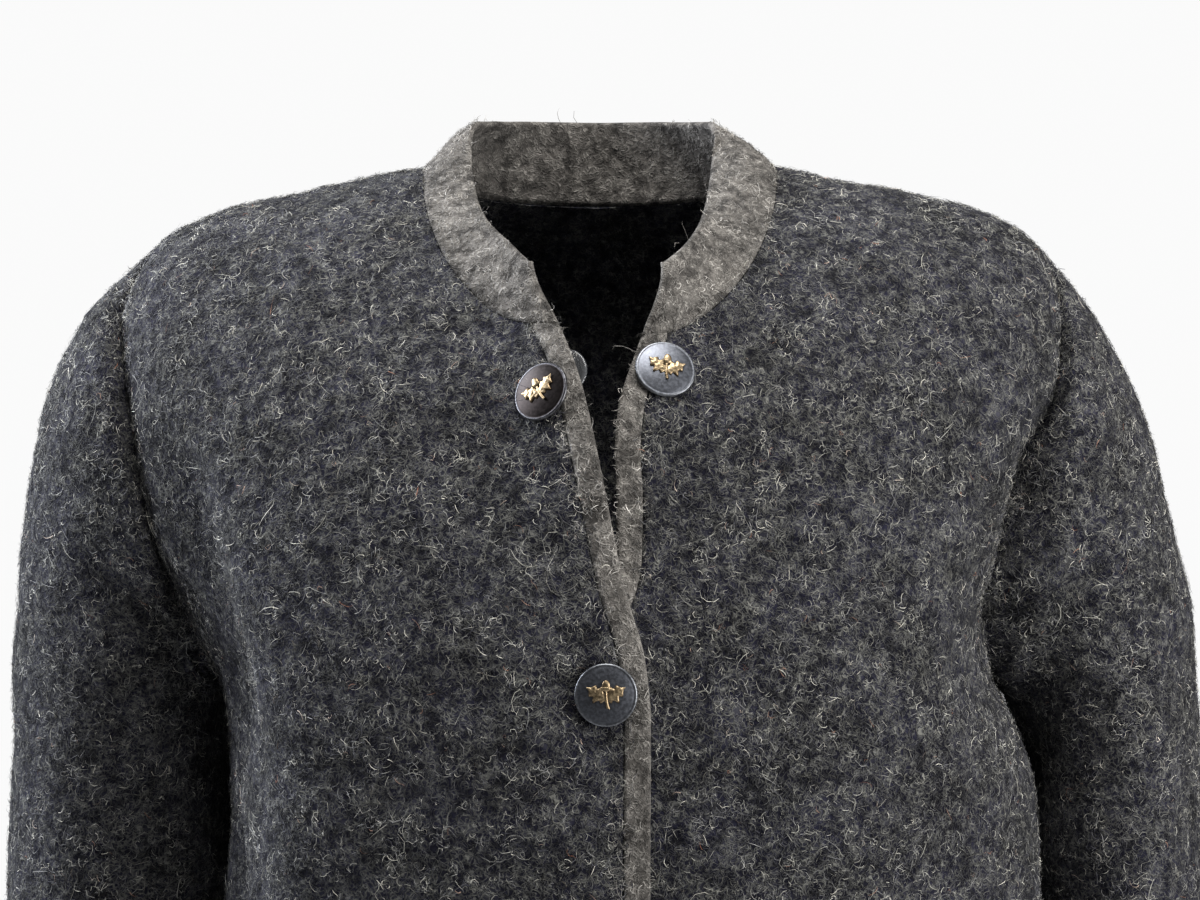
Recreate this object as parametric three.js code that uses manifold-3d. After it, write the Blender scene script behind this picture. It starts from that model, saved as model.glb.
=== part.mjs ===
// A boiled-wool coat, worn and filled out: two fronts, a back, two set-in sleeves, a stand
// collar, a contrast band down each front edge, and domed metal buttons with a leaf badge.
//
// Millimetres, +Z up, +X to the wearer's left, the coat faces -Y. The origin lies between the
// two neck points, where the wearer's shoulders carry the coat. The wearer's right front laps
// over the left one, and both fall open above the second button.
//
// Every cloth piece is a wall. Its outer face is a grid of points on the worn form, and its
// inner face is the same grid moved in along the form's normal.
import * as THREE from "three";
import { mergeVertices } from "three/addons/utils/BufferGeometryUtils.js";
import Module from "manifold-3d";

const wasm = await Module();
wasm.setup();

// ---------------------------------------------------------------- driving sizes
const CLOTH = 3; // thickness of the boiled wool
const SEAM_GAP = 0.3; // between two pieces at a seam
const HEM_Z = -790;
const ARMPIT_Z = -212;
const SHOULDER_Z = -34; // end of the shoulder seam
const NECK_POINT_Z = -2; // where the shoulder seam meets the collar
const NECK_DROP_FRONT = 75; // below the neck points
const NECK_DROP_BACK = 10;
const NECK_ROUNDNESS = 1.8; // exponent of the front neckline's curve
const SHOULDER_SPACING = 1.25; // spreads the grid's steps evenly along the sloping shoulder
const SIDE_SPACING = 1.6; // draws the grid's rows closer together towards the armpit
const RING_ROUNDNESS = 2.3; // exponent of the body's horizontal sections
const ARMPIT_SPAN = { low: -300, high: -124 }; // heights between which the armpits cut into the width
const PLAIN_SHARE = 0.72; // share of the half width that the armpits leave as it is
const BAND_WIDTH = 10;
const BAND_EXTRA = 0.3; // the band stands this much prouder than the cloth
const LAP = 16; // from the button line to each front edge
const BUTTON_RADIUS = 11.5;
const BUTTON_LIFT = 1.2; // from the cloth to the button's underside

// How many steps each grid has. Pieces that share a seam share its steps.
const STEPS = {
  side: 11, // hem to armpit
  armhole: 11, // armpit to shoulder, front and back alike
  frontNeck: 8,
  backNeck: 12,
  shoulder: 9,
  collarHeight: 4,
  sleevePerRing: 1.5,
};

// Horizontal sections of the worn body: half width to the wearer's right (-X) and left (+X),
// and depth to the front and the back. Above the armpits the half width is the shoulder line.
const BODY = [
  { z: -790, right: 200, left: 206, front: 142, back: 134 },
  { z: -670, right: 190, left: 196, front: 136, back: 124 },
  { z: -550, right: 180, left: 186, front: 129, back: 114 },
  { z: -400, right: 164, left: 177, front: 123, back: 101 },
  { z: -300, right: 153.5, left: 180, front: 130, back: 106 },
  { z: -264, right: 150.5, left: 178, front: 133, back: 110 },
  { z: -243, right: 150.5, left: 174.5, front: 134, back: 112 },
  { z: -222, right: 153.5, left: 166, front: 135, back: 115 },
  { z: -212, right: 156.5, left: 160, front: 134, back: 115 },
  { z: -190, right: 167, left: 157.5, front: 133, back: 116 },
  { z: -150, right: 186, left: 169, front: 126, back: 115 },
  { z: -124, right: 193.5, left: 181, front: 119, back: 112 },
  { z: -100, right: 197, left: 189, front: 110, back: 108 },
  { z: -70, right: 197.5, left: 191, front: 92, back: 99 },
  { z: -46, right: 190, left: 187, front: 72, back: 86 },
  { z: -32, right: 179, left: 177, front: 56, back: 75 },
  { z: -20, right: 154, left: 155, front: 40, back: 63 },
  { z: -13, right: 123, left: 127, front: 31, back: 56 },
  { z: -7, right: 95, left: 100, front: 22, back: 48 },
  { z: -2, right: 72.5, left: 72.5, front: 14, back: 41 },
  { z: 3, right: 60, left: 60, front: 8, back: 34 },
];

// The two front edges, from the hem to the collar.
const EDGE_RIGHT = [
  { z: -790, x: 19 },
  { z: -285, x: 18.5 },
  { z: -218, x: 18.7 },
  { z: -196, x: 16.6 },
  { z: -169, x: 9 },
  { z: -145, x: 4 },
  { z: -126, x: 0 },
  { z: -108, x: -4 },
  { z: -90, x: -9.5 },
  { z: -77, x: -15 },
];
const EDGE_LEFT = [
  { z: -790, x: -13 },
  { z: -285, x: -13.5 },
  { z: -240, x: -14 },
  { z: -208, x: -11 },
  { z: -185, x: -2 },
  { z: -160, x: 5.5 },
  { z: -137, x: 6 },
  { z: -119, x: 5.2 },
  { z: -104, x: 6.5 },
  { z: -90, x: 10.5 },
  { z: -77, x: 15.5 },
];

// How far the front edges lift off the body: lapped below, rolled open above.
const LAP_LIFT = 2.3; // the right front rises and the left front sinks by this much
const LAP_BLEND = { from: 20, to: 50 }; // distance from the centre over which it fades
const ROLL = { z: -100, span: 48, reach: 30, right: 9, left: 5 };

// Armhole: how far it cuts in from the shoulder line, as a share of the half width.
const ARMHOLE_CUT = { front: 0.035, back: 0.06 };

// Top edge of the collar from a front corner to the centre back, with its distance out to
// either side. The middle row stands over the neck point.
const COLLAR_TOP = [
  { right: 28, left: 25.5, y: -96, z: -48.5 },
  { right: 35.5, left: 34, y: -79, z: -39 },
  { right: 46.5, left: 41, y: -52, z: -25 },
  { right: 52, left: 45, y: -23, z: -5 },
  { right: 53, left: 47.5, y: 7, z: 16.5 },
  { right: 48.5, left: 45, y: 28, z: 21 },
  { right: 37, left: 35.5, y: 42, z: 22.5 },
  { right: 20, left: 19.5, y: 50, z: 23 },
  { right: 0, left: 0, y: 53, z: 23 },
];
const COLLAR_BOW = 1.6; // the stand is rounded outwards by this much at mid height

// Sleeve rings after the armhole: the outermost and the underarm point as distances out from
// the centre plane, their heights, the half depth fore and aft, and the shift to the front.
const SLEEVE_RIGHT = [
  { outX: 207, outZ: -57, underX: 163, underZ: -216, depth: 51, forward: -2 },
  { outX: 224.2, outZ: -82, underX: 159.5, underZ: -220, depth: 54, forward: -8 },
  { outX: 233.6, outZ: -107, underX: 159, underZ: -226, depth: 58, forward: -16 },
  { outX: 241.3, outZ: -146, underX: 157.5, underZ: -237, depth: 61, forward: -24 },
  { outX: 245.7, outZ: -190, underX: 156, underZ: -252, depth: 60, forward: -28 },
  { outX: 248.1, outZ: -237, underX: 155, underZ: -274, depth: 59, forward: -30 },
  { outX: 250, outZ: -292, underX: 155, underZ: -306, depth: 58, forward: -31 },
  { outX: 251.8, outZ: -345, underX: 158, underZ: -345, depth: 57, forward: -27 },
  { outX: 255.1, outZ: -400, underX: 167, underZ: -395, depth: 56, forward: -18 },
  { outX: 260.7, outZ: -455, underX: 181, underZ: -446, depth: 54, forward: -3 },
  { outX: 266.3, outZ: -510, underX: 195.5, underZ: -498, depth: 51, forward: 14 },
  { outX: 269.9, outZ: -562, underX: 201.2, underZ: -548, depth: 48, forward: 30 },
  { outX: 271.4, outZ: -604, underX: 204.8, underZ: -590, depth: 46, forward: 42 },
];
const SLEEVE_LEFT = [
  { outX: 198, outZ: -55, underX: 165, underZ: -217, depth: 51, forward: -2 },
  { outX: 214.2, outZ: -81, underX: 168, underZ: -220, depth: 54, forward: -7 },
  { outX: 227.6, outZ: -107, underX: 172, underZ: -226, depth: 59, forward: -16 },
  { outX: 239.3, outZ: -147, underX: 176, underZ: -238, depth: 63, forward: -24 },
  { outX: 248.2, outZ: -190, underX: 178.5, underZ: -254, depth: 63, forward: -28 },
  { outX: 252.2, outZ: -237, underX: 179.5, underZ: -275, depth: 63, forward: -30 },
  { outX: 254.6, outZ: -292, underX: 180, underZ: -307, depth: 62, forward: -31 },
  { outX: 255.8, outZ: -345, underX: 180, underZ: -346, depth: 60, forward: -27 },
  { outX: 258.2, outZ: -400, underX: 182, underZ: -395, depth: 58, forward: -18 },
  { outX: 262.8, outZ: -455, underX: 189, underZ: -446, depth: 55, forward: -3 },
  { outX: 267.4, outZ: -510, underX: 199.5, underZ: -498, depth: 51, forward: 14 },
  { outX: 270.9, outZ: -562, underX: 204.2, underZ: -548, depth: 48, forward: 30 },
  { outX: 272.5, outZ: -604, underX: 207.9, underZ: -590, depth: 46, forward: 42 },
];

// Soft folds of the fronts and the back, each along a line seen from the front: its ends,
// its half width, and how far it stands out (or sinks in, where negative).
const FRONT_FOLDS = [
  { x0: -145, z0: -220, x1: -145, z1: -620, width: 5.5, rise: -12 },
  { x0: -113, z0: -205, x1: -112, z1: -460, width: 15, rise: 4 },
  { x0: -172, z0: -96, x1: -136, z1: -252, width: 12, rise: -11 },
  { x0: 184, z0: -88, x1: 157, z1: -222, width: 11, rise: -9 },
  { x0: -86, z0: -330, x1: -122, z1: -830, width: 24, rise: 6 },
  { x0: -50, z0: -380, x1: -66, z1: -830, width: 22, rise: -5 },
  { x0: 74, z0: -350, x1: 92, z1: -830, width: 24, rise: -5 },
  { x0: 112, z0: -300, x1: 142, z1: -830, width: 24, rise: 6 },
];
const BACK_FOLDS = [
  { x0: -120, z0: -120, x1: -108, z1: -330, width: 20, rise: -2.5 },
  { x0: 124, z0: -120, x1: 114, z1: -330, width: 20, rise: -4 },
  { x0: -96, z0: -360, x1: -124, z1: -830, width: 26, rise: 6 },
  { x0: -36, z0: -400, x1: -50, z1: -830, width: 26, rise: -6 },
  { x0: 20, z0: -380, x1: 22, z1: -830, width: 28, rise: 6 },
  { x0: 80, z0: -400, x1: 98, z1: -830, width: 26, rise: -5 },
];

const FOLD_FADE = 0.3; // share of a fold's length over which it dies out at either end
const SIDE_FADE = 0.05; // share of the half width over which folds die out at the side seam

// Soft folds of a sleeve: where along it (ring number), where round it (degrees from the
// outermost line, 90 is the front), how much it turns per ring, half widths, and rise.
const SLEEVE_FOLDS = [
  { ring: 7.2, turn: 150, twist: 18, along: 0.42, round: 62, rise: -5 },
  { ring: 8.1, turn: 165, twist: 14, along: 0.4, round: 58, rise: -5 },
  { ring: 9.0, turn: 150, twist: 18, along: 0.42, round: 55, rise: -4 },
  { ring: 3.2, turn: 96, twist: -20, along: 1.5, round: 24, rise: -3 },
];

// Buttons: height, distance from the front edge, and how the disc leans (degrees): turned to
// the wearer's right, and tipped up. The first two hang on their own fronts, open.
const TOP_BUTTONS = {
  button_top_right: { z: -101, fromEdge: 14.5, turned: 8, tipped: 4 },
  button_top_left: { z: -90, fromEdge: 13.5, turned: 0, tipped: 0 },
};
const CLOSED_BUTTON_Z = [-208, -323, -438, -553];
const COUNTER_BUTTON = { radius: 10, thickness: 1.4, fromEdge: 7.2, above: 8.5, below: 2.2 };

// ---------------------------------------------------------------- small helpers
const V = (x, y, z) => new THREE.Vector3(x, y, z);
const mix = (a, b, t) => a + (b - a) * t;
const smooth = (t) => {
  const c = Math.min(1, Math.max(0, t));
  return c * c * (3 - 2 * c);
};

// Reads one column of a table at height z, with a cubic that never overshoots its rows.
function column(table, key, z) {
  const rows = [...table].sort((a, b) => a.z - b.z);
  const last = rows.length - 2;
  let i = 0;
  while (i < last && z > rows[i + 1].z) i++;
  const slope = (k) => (rows[k + 1][key] - rows[k][key]) / (rows[k + 1].z - rows[k].z);
  const tangent = (k) => {
    if (k === 0) return slope(0);
    if (k === rows.length - 1) return slope(k - 1);
    const [a, b] = [slope(k - 1), slope(k)];
    return a * b <= 0 ? 0 : (2 * a * b) / (a + b);
  };
  const h = rows[i + 1].z - rows[i].z;
  const t = Math.min(1, Math.max(0, (z - rows[i].z) / h));
  return (
    (1 + 2 * t) * (1 - t) ** 2 * rows[i][key] +
    t * (1 - t) ** 2 * h * tangent(i) +
    t * t * (3 - 2 * t) * rows[i + 1][key] +
    t * t * (t - 1) * h * tangent(i + 1)
  );
}

// A smooth curve through points, read at a fractional index.
function through(points, at) {
  const i = Math.min(points.length - 2, Math.floor(at));
  const t = at - i;
  const p = (k) => points[Math.min(points.length - 1, Math.max(0, k))];
  const [a, b, c, d] = [p(i - 1), p(i), p(i + 1), p(i + 2)];
  const axis = (k) =>
    0.5 *
    (2 * b[k] +
      (c[k] - a[k]) * t +
      (2 * a[k] - 5 * b[k] + 4 * c[k] - d[k]) * t * t +
      (3 * b[k] - a[k] - 3 * c[k] + d[k]) * t ** 3);
  return V(axis("x"), axis("y"), axis("z"));
}

// ---------------------------------------------------------------- the worn form
const sideOf = (x) => (x < 0 ? "right" : "left");
const halfWidth = (x, z) => column(BODY, sideOf(x), z);

// How far out a point lies, as a share of the half width: 0 at the centre and 1 at the side.
// The armpits cut into the sides alone, and the chest and the back run past them evenly.
function outwards(x, z) {
  const { low, high } = ARMPIT_SPAN;
  const cut = Math.abs(x) / halfWidth(x, z);
  if (z <= low || z >= high) return cut;
  const plain = Math.abs(x) / mix(halfWidth(x, low), halfWidth(x, high), (z - low) / (high - low));
  return mix(plain, cut, smooth((cut - PLAIN_SHARE) / (1 - PLAIN_SHARE)));
}

function foldRise(folds, x, z) {
  let rise = 0;
  for (const f of folds) {
    const [dx, dz] = [f.x1 - f.x0, f.z1 - f.z0];
    const along = ((x - f.x0) * dx + (z - f.z0) * dz) / (dx * dx + dz * dz);
    const aside = Math.abs((x - f.x0) * dz - (z - f.z0) * dx) / Math.hypot(dx, dz);
    const ends = smooth(along / FOLD_FADE) * smooth((1 - along) / FOLD_FADE);
    rise += f.rise * ends * Math.exp(-((aside / f.width) ** 2));
  }
  return rise;
}

// The lap and the roll of the front that a point belongs to ("right" laps over "left").
function frontLift(front, x, z) {
  const sign = front === "right" ? 1 : -1;
  const lapped = 1 - smooth((-sign * x - LAP_BLEND.from) / (LAP_BLEND.to - LAP_BLEND.from));
  const edge = column(front === "right" ? EDGE_RIGHT : EDGE_LEFT, "x", z);
  const inward = sign * (edge - x);
  const near = 1 - smooth(inward / ROLL.reach);
  const open = Math.exp(-(((z - ROLL.z) / ROLL.span) ** 2));
  return sign * LAP_LIFT * lapped + ROLL[front] * open * near;
}

// A point of the form seen at (x, z): face is "front" or "back", and front says which front
// lies there. The normal is that of the plain form, which the walls are thickened along.
function onBody(x, z, face, front = sideOf(x)) {
  const n = RING_ROUNDNESS;
  const deep = column(BODY, face, z);
  const u = Math.min(1, outwards(x, z));
  const v = (1 - u ** n) ** (1 / n);
  const facing = face === "front" ? -1 : 1;
  const step = 0.5;
  const slopeOf = (read) => (read(step) - read(-step)) / (2 * step);
  const normal = V(
    u ** (n - 1) * slopeOf((h) => outwards(x + h, z)),
    (facing * v ** (n - 1)) / deep,
    u ** (n - 1) * slopeOf((h) => outwards(x, z + h)) -
      (v ** n / deep) * slopeOf((h) => column(BODY, face, z + h)),
  ).normalize();
  const folds = foldRise(face === "front" ? FRONT_FOLDS : BACK_FOLDS, x, z);
  const lift = face === "front" ? frontLift(front, x, z) : 0;
  const rise = folds * smooth((1 - u) / SIDE_FADE) + lift;
  return { point: V(x, facing * deep * v, z).addScaledVector(normal, rise), normal };
}

// ---------------------------------------------------------------- seam lines, as (x, z)
const signOf = (side) => (side === "right" ? -1 : 1);

// Armhole from the armpit (t = 0) to the end of the shoulder seam (t = 1).
function armhole(side, face, t) {
  const z = mix(ARMPIT_Z, SHOULDER_Z, (1 - Math.cos(Math.PI * t)) / 2);
  const cut = ARMHOLE_CUT[face] * Math.sin(Math.PI * t) ** RING_ROUNDNESS;
  const sign = signOf(side);
  return { x: sign * halfWidth(sign, z) * (1 - cut), z };
}

// Shoulder seam from the neck point (t = 0) outwards.
function shoulder(side, t) {
  const z = mix(NECK_POINT_Z, SHOULDER_Z, t ** SHOULDER_SPACING);
  const sign = signOf(side);
  return { x: sign * halfWidth(sign, z), z };
}

const frontEdge = (side, z) => column(side === "right" ? EDGE_RIGHT : EDGE_LEFT, "x", z);
const NECK_EDGE_Z = NECK_POINT_Z - NECK_DROP_FRONT;

// Front neckline, step 0 at the front edge, step 1 where the band ends, then to the neck point.
function frontNeck(side, step) {
  const edge = frontEdge(side, NECK_EDGE_Z);
  const reach = signOf(side) * halfWidth(signOf(side), NECK_POINT_Z) - edge;
  const power = 2 / NECK_ROUNDNESS;
  const first = Math.asin((BAND_WIDTH / Math.abs(reach)) ** (1 / power));
  const angle =
    step < 1 ? step * first : mix(first, Math.PI / 2, (step - 1) / (STEPS.frontNeck - 1));
  return {
    x: edge + reach * Math.sin(angle) ** power,
    z: NECK_POINT_Z - NECK_DROP_FRONT * Math.abs(Math.cos(angle)) ** power,
  };
}

// Back neckline from the right neck point (t = 0) to the left one (t = 1).
function backNeck(t) {
  const angle = mix(-Math.PI / 2, Math.PI / 2, t);
  const x = Math.sin(angle);
  return {
    x: x * halfWidth(x, NECK_POINT_Z),
    z: NECK_POINT_Z - NECK_DROP_BACK * Math.cos(angle),
  };
}

// Heights of the grid rows along a front edge or a side seam, hem first.
const ROWS = STEPS.side + STEPS.armhole;
function rowHeight(row, top) {
  if (row <= STEPS.side) return mix(ARMPIT_Z, HEM_Z, (1 - row / STEPS.side) ** SIDE_SPACING);
  return mix(ARMPIT_Z, top, Math.sin((Math.PI / 2) * ((row - STEPS.side) / STEPS.armhole)));
}

// Side seam and armhole in one line, by row.
function sideLine(side, face, row) {
  if (row >= STEPS.side) return armhole(side, face, (row - STEPS.side) / STEPS.armhole);
  const z = rowHeight(row, 0);
  return { x: signOf(side) * halfWidth(signOf(side), z), z };
}

// ---------------------------------------------------------------- grids and walls
// Fills a four-sided outline in (x, z): each side is a function of its step.
function fill(columns, bottom, top, left, right) {
  const corner = { bl: bottom(0), br: bottom(columns), tl: top(0), tr: top(columns) };
  const heightShare = (row) => (left(row).z - corner.bl.z) / (corner.tl.z - corner.bl.z);
  const grid = [];
  for (let row = 0; row <= ROWS; row++) {
    const t = heightShare(row);
    const line = [];
    for (let c = 0; c <= columns; c++) {
      const s = c / columns;
      const at = (k) =>
        mix(bottom(c)[k], top(c)[k], t) +
        mix(left(row)[k], right(row)[k], s) -
        mix(mix(corner.bl[k], corner.br[k], s), mix(corner.tl[k], corner.tr[k], s), t);
      line.push({ x: at("x"), z: at("z") });
    }
    grid.push(line);
  }
  return grid;
}

// Draws the edges of a grid back by half the seam gap, so that neighbours stay apart.
function drawBack(grid, { sides = true } = {}) {
  const pull = (p, q) => p.add(q.clone().sub(p).setLength(SEAM_GAP / 2));
  grid[0].forEach((p, i) => pull(p, grid[1][i]));
  grid.at(-1).forEach((p, i) => pull(p, grid.at(-2)[i]));
  if (sides) {
    for (const row of grid) {
      pull(row[0], row[1]);
      pull(row.at(-1), row.at(-2));
    }
  }
  return grid;
}

// A closed wall between an outer and an inner grid. A ring's rows close on themselves.
function wall(outer, inner, ring = false) {
  const [rows, cols] = [outer.length, outer[0].length];
  const points = [...outer.flat(), ...inner.flat()].flatMap((p) => [p.x, p.y, p.z]);
  const at = (layer, row, col) => layer * rows * cols + row * cols + (col % cols);
  const faces = [];
  const quad = (a, b, c, d) => faces.push(a, b, c, a, c, d);
  const spans = ring ? cols : cols - 1;
  for (let c = 0; c < spans; c++) {
    for (let r = 0; r < rows - 1; r++) {
      quad(at(0, r, c), at(0, r, c + 1), at(0, r + 1, c + 1), at(0, r + 1, c));
      quad(at(1, r, c), at(1, r + 1, c), at(1, r + 1, c + 1), at(1, r, c + 1));
    }
    quad(at(0, 0, c), at(1, 0, c), at(1, 0, c + 1), at(0, 0, c + 1));
    quad(at(0, rows - 1, c), at(0, rows - 1, c + 1), at(1, rows - 1, c + 1), at(1, rows - 1, c));
  }
  for (let r = 0; !ring && r < rows - 1; r++) {
    quad(at(0, r, 0), at(0, r + 1, 0), at(1, r + 1, 0), at(1, r, 0));
    quad(at(0, r, cols - 1), at(1, r, cols - 1), at(1, r + 1, cols - 1), at(0, r + 1, cols - 1));
  }
  return facingOut(points, faces);
}

// Turns the faces round if the mesh encloses a negative volume.
function facingOut(points, faces) {
  const p = (i) => V(points[3 * i], points[3 * i + 1], points[3 * i + 2]);
  let volume = 0;
  for (let i = 0; i < faces.length; i += 3) {
    volume += p(faces[i]).dot(p(faces[i + 1]).cross(p(faces[i + 2])));
  }
  if (volume < 0) faces.reverse();
  return new THREE.BufferGeometry()
    .setAttribute("position", new THREE.Float32BufferAttribute(points, 3))
    .setIndex(faces);
}

// The wall of a body panel from its (x, z) grid. Its top row takes the mitres that it is given.
function panelWall(grid, face, front, mitres, extra = 0) {
  const placed = grid.map((row) => row.map(({ x, z }) => onBody(x, z, face, front)));
  placed.at(-1).forEach((q, c) => (q.normal = mitres[c] ?? q.normal));
  // The left front's rows run back from the neck to its edge, as the collar's do there, so
  // that the faces along their seam are split alike.
  if (face === "front" && front === "left") placed.forEach((row) => row.reverse());
  const moved = (by) =>
    drawBack(placed.map((row) => row.map((q) => q.point.clone().addScaledVector(q.normal, by))));
  return wall(moved(extra), moved(-CLOTH - extra));
}

// ---------------------------------------------------------------- collar
// Top edge of the collar over each point of its seam.
function collarTop(k) {
  const half = COLLAR_TOP.length - 1;
  const whole = [
    ...COLLAR_TOP.map((p) => ({ x: -p.right, y: p.y, z: p.z })),
    ...COLLAR_TOP.slice(0, half).reverse().map((p) => ({ x: p.left, y: p.y, z: p.z })),
  ];
  const last = 2 * STEPS.frontNeck + STEPS.backNeck;
  const sideShare = half / 2;
  if (k <= STEPS.frontNeck) return through(whole, (k / STEPS.frontNeck) * sideShare);
  if (k >= last - STEPS.frontNeck) {
    return through(whole, 2 * half - ((last - k) / STEPS.frontNeck) * sideShare);
  }
  const backShare = (k - STEPS.frontNeck) / STEPS.backNeck;
  return through(whole, sideShare + backShare * 2 * (half - sideShare));
}

// Normals of a strip of the collar, away from the neck.
function collarNormals(row, rise) {
  return row.map((p, k) => {
    const along = row[Math.min(k + 1, row.length - 1)].clone().sub(row[Math.max(k - 1, 0)]);
    const normal = along.cross(rise[k]).normalize();
    return normal.dot(V(p.x, p.y + 20, 0)) < 0 ? normal.negate() : normal;
  });
}

// The collar's seam from the right front edge, round the back, to the left front edge. Along
// it the walls of the collar and the panels meet in a mitre, half way between their normals.
function neckSeam() {
  const steps = (count, from = 0) => Array.from({ length: count - from + 1 }, (_, k) => k + from);
  const seam = [
    ...steps(STEPS.frontNeck).map((k) => ({ ...frontNeck("right", k), face: "front", side: "right" })),
    ...steps(STEPS.backNeck - 1, 1).map((k) => ({ ...backNeck(k / STEPS.backNeck), face: "back" })),
    ...steps(STEPS.frontNeck)
      .reverse()
      .map((k) => ({ ...frontNeck("left", k), face: "front", side: "left" })),
  ].map(({ x, z, face, side }) => onBody(x, z, face, side));
  const rise = seam.map((q, k) => collarTop(k).sub(q.point));
  const normals = collarNormals(seam.map((q) => q.point), rise);
  return seam.map((q, k) => {
    const mitre = q.normal.clone().add(normals[k]).normalize();
    return { point: q.point, rise: rise[k], mitre: mitre.divideScalar(Math.max(0.75, mitre.dot(q.normal))) };
  });
}

const NECK_SEAM = neckSeam();

function collar() {
  const grid = [];
  for (let r = 0; r <= STEPS.collarHeight; r++) {
    const share = r / STEPS.collarHeight;
    grid.push(NECK_SEAM.map((q) => q.point.clone().addScaledVector(q.rise, share)));
  }
  const rise = NECK_SEAM.map((q) => q.rise);
  const normals = grid.map((row, r) => (r === 0 ? NECK_SEAM.map((q) => q.mitre) : collarNormals(row, rise)));
  const moved = (by) =>
    drawBack(
      grid.map((row, r) =>
        row.map((p, k) => {
          const bow = COLLAR_BOW * Math.sin((Math.PI * r) / STEPS.collarHeight);
          return p.clone().addScaledVector(normals[r][k], bow + by);
        }),
      ),
      { sides: false },
    );
  return wall(moved(0), moved(-CLOTH));
}

// ---------------------------------------------------------------- fronts, back and bands
function frontGrid(side) {
  const columns = STEPS.frontNeck - 1 + STEPS.shoulder;
  const sign = signOf(side);
  const neckTop = frontNeck(side, 1).z;
  const top = (c) =>
    c < STEPS.frontNeck - 1
      ? frontNeck(side, c + 1)
      : shoulder(side, (c - STEPS.frontNeck + 1) / STEPS.shoulder);
  const left = (row) => {
    const z = rowHeight(row, neckTop);
    return row === ROWS ? top(0) : { x: frontEdge(side, z) + sign * BAND_WIDTH, z };
  };
  const start = left(0).x;
  const wide = sign * halfWidth(sign, HEM_Z);
  const angle0 = Math.asin(start / wide);
  const bottom = (c) => ({
    x: c === 0 ? start : wide * Math.sin(mix(angle0, Math.PI / 2, c / columns)),
    z: HEM_Z,
  });
  return fill(columns, bottom, top, left, (row) => sideLine(side, "front", row));
}

function bandGrid(side) {
  const sign = signOf(side);
  const neckTop = frontNeck(side, 1).z;
  const grid = [];
  for (let row = 0; row <= ROWS; row++) {
    const z = rowHeight(row, neckTop);
    const edgeZ = mix(HEM_Z, NECK_EDGE_Z, (z - HEM_Z) / (neckTop - HEM_Z));
    const outer = { x: frontEdge(side, edgeZ), z: edgeZ };
    const inner = row === ROWS ? frontNeck(side, 1) : { x: frontEdge(side, z) + sign * BAND_WIDTH, z };
    const between = [0, 0.5, 1].map((t) => ({ x: mix(inner.x, outer.x, t), z: mix(inner.z, outer.z, t) }));
    grid.push(between);
  }
  return grid;
}

function backGrid() {
  const columns = STEPS.backNeck + 2 * STEPS.shoulder;
  const top = (c) => {
    if (c < STEPS.shoulder) return shoulder("right", 1 - c / STEPS.shoulder);
    if (c > STEPS.shoulder + STEPS.backNeck) {
      return shoulder("left", (c - STEPS.shoulder - STEPS.backNeck) / STEPS.shoulder);
    }
    return backNeck((c - STEPS.shoulder) / STEPS.backNeck);
  };
  const bottom = (c) => {
    const across = Math.sin(mix(-Math.PI / 2, Math.PI / 2, c / columns));
    return { x: across * halfWidth(across, HEM_Z), z: HEM_Z };
  };
  return fill(
    columns,
    bottom,
    top,
    (row) => sideLine("right", "back", row),
    (row) => sideLine("left", "back", row),
  );
}

// ---------------------------------------------------------------- sleeves
function sleeveGrid(side) {
  const sign = signOf(side);
  const table = side === "right" ? SLEEVE_RIGHT : SLEEVE_LEFT;
  const around = 2 * STEPS.armhole;
  const lines = [];
  for (let k = 0; k < around; k++) {
    const angle = (2 * Math.PI * k) / around;
    const atFront = k <= STEPS.armhole;
    const t = atFront ? 1 - k / STEPS.armhole : (k - STEPS.armhole) / STEPS.armhole;
    const start = armhole(side, atFront ? "front" : "back", t);
    const root = onBody(start.x, start.z, atFront ? "front" : "back", side);
    const rings = table.map((r) => {
      const centre = V(sign * (r.outX + r.underX), -2 * r.forward, r.outZ + r.underZ).divideScalar(2);
      const reach = V(sign * (r.outX - r.underX), 0, r.outZ - r.underZ).divideScalar(2);
      return centre.addScaledVector(reach, Math.cos(angle)).add(V(0, -r.depth * Math.sin(angle), 0));
    });
    lines.push({ angle, root, points: [root.point, ...rings] });
  }
  const rows = Math.round(table.length * STEPS.sleevePerRing);
  const at = (row) => (table.length * row) / rows;
  const grid = [];
  for (let row = 0; row <= rows; row++) grid.push(lines.map((l) => through(l.points, at(row))));
  return { grid, lines, at };
}

// Normals of a ring grid, out of the tube.
function ringNormals(grid) {
  const cols = grid[0].length;
  const heart = grid.map((row) => row.reduce((sum, p) => sum.add(p), V(0, 0, 0)).divideScalar(cols));
  return grid.map((row, r) =>
    row.map((p, c) => {
      const across = row[(c + 1) % cols].clone().sub(row[(c + cols - 1) % cols]);
      const above = grid[Math.max(0, r - 1)][c];
      const below = grid[Math.min(grid.length - 1, r + 1)][c];
      const normal = across.cross(below.clone().sub(above)).normalize();
      return normal.dot(p.clone().sub(heart[r])) < 0 ? normal.negate() : normal;
    }),
  );
}

function sleeveFoldRise(ring, angle) {
  let rise = 0;
  for (const f of SLEEVE_FOLDS) {
    const along = ring - f.ring;
    const turn = THREE.MathUtils.radToDeg(angle) - f.turn - f.twist * along;
    const wrapped = THREE.MathUtils.euclideanModulo(turn + 180, 360) - 180;
    rise += f.rise * Math.exp(-((along / f.along) ** 2) - (wrapped / f.round) ** 2);
  }
  return rise;
}

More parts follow.
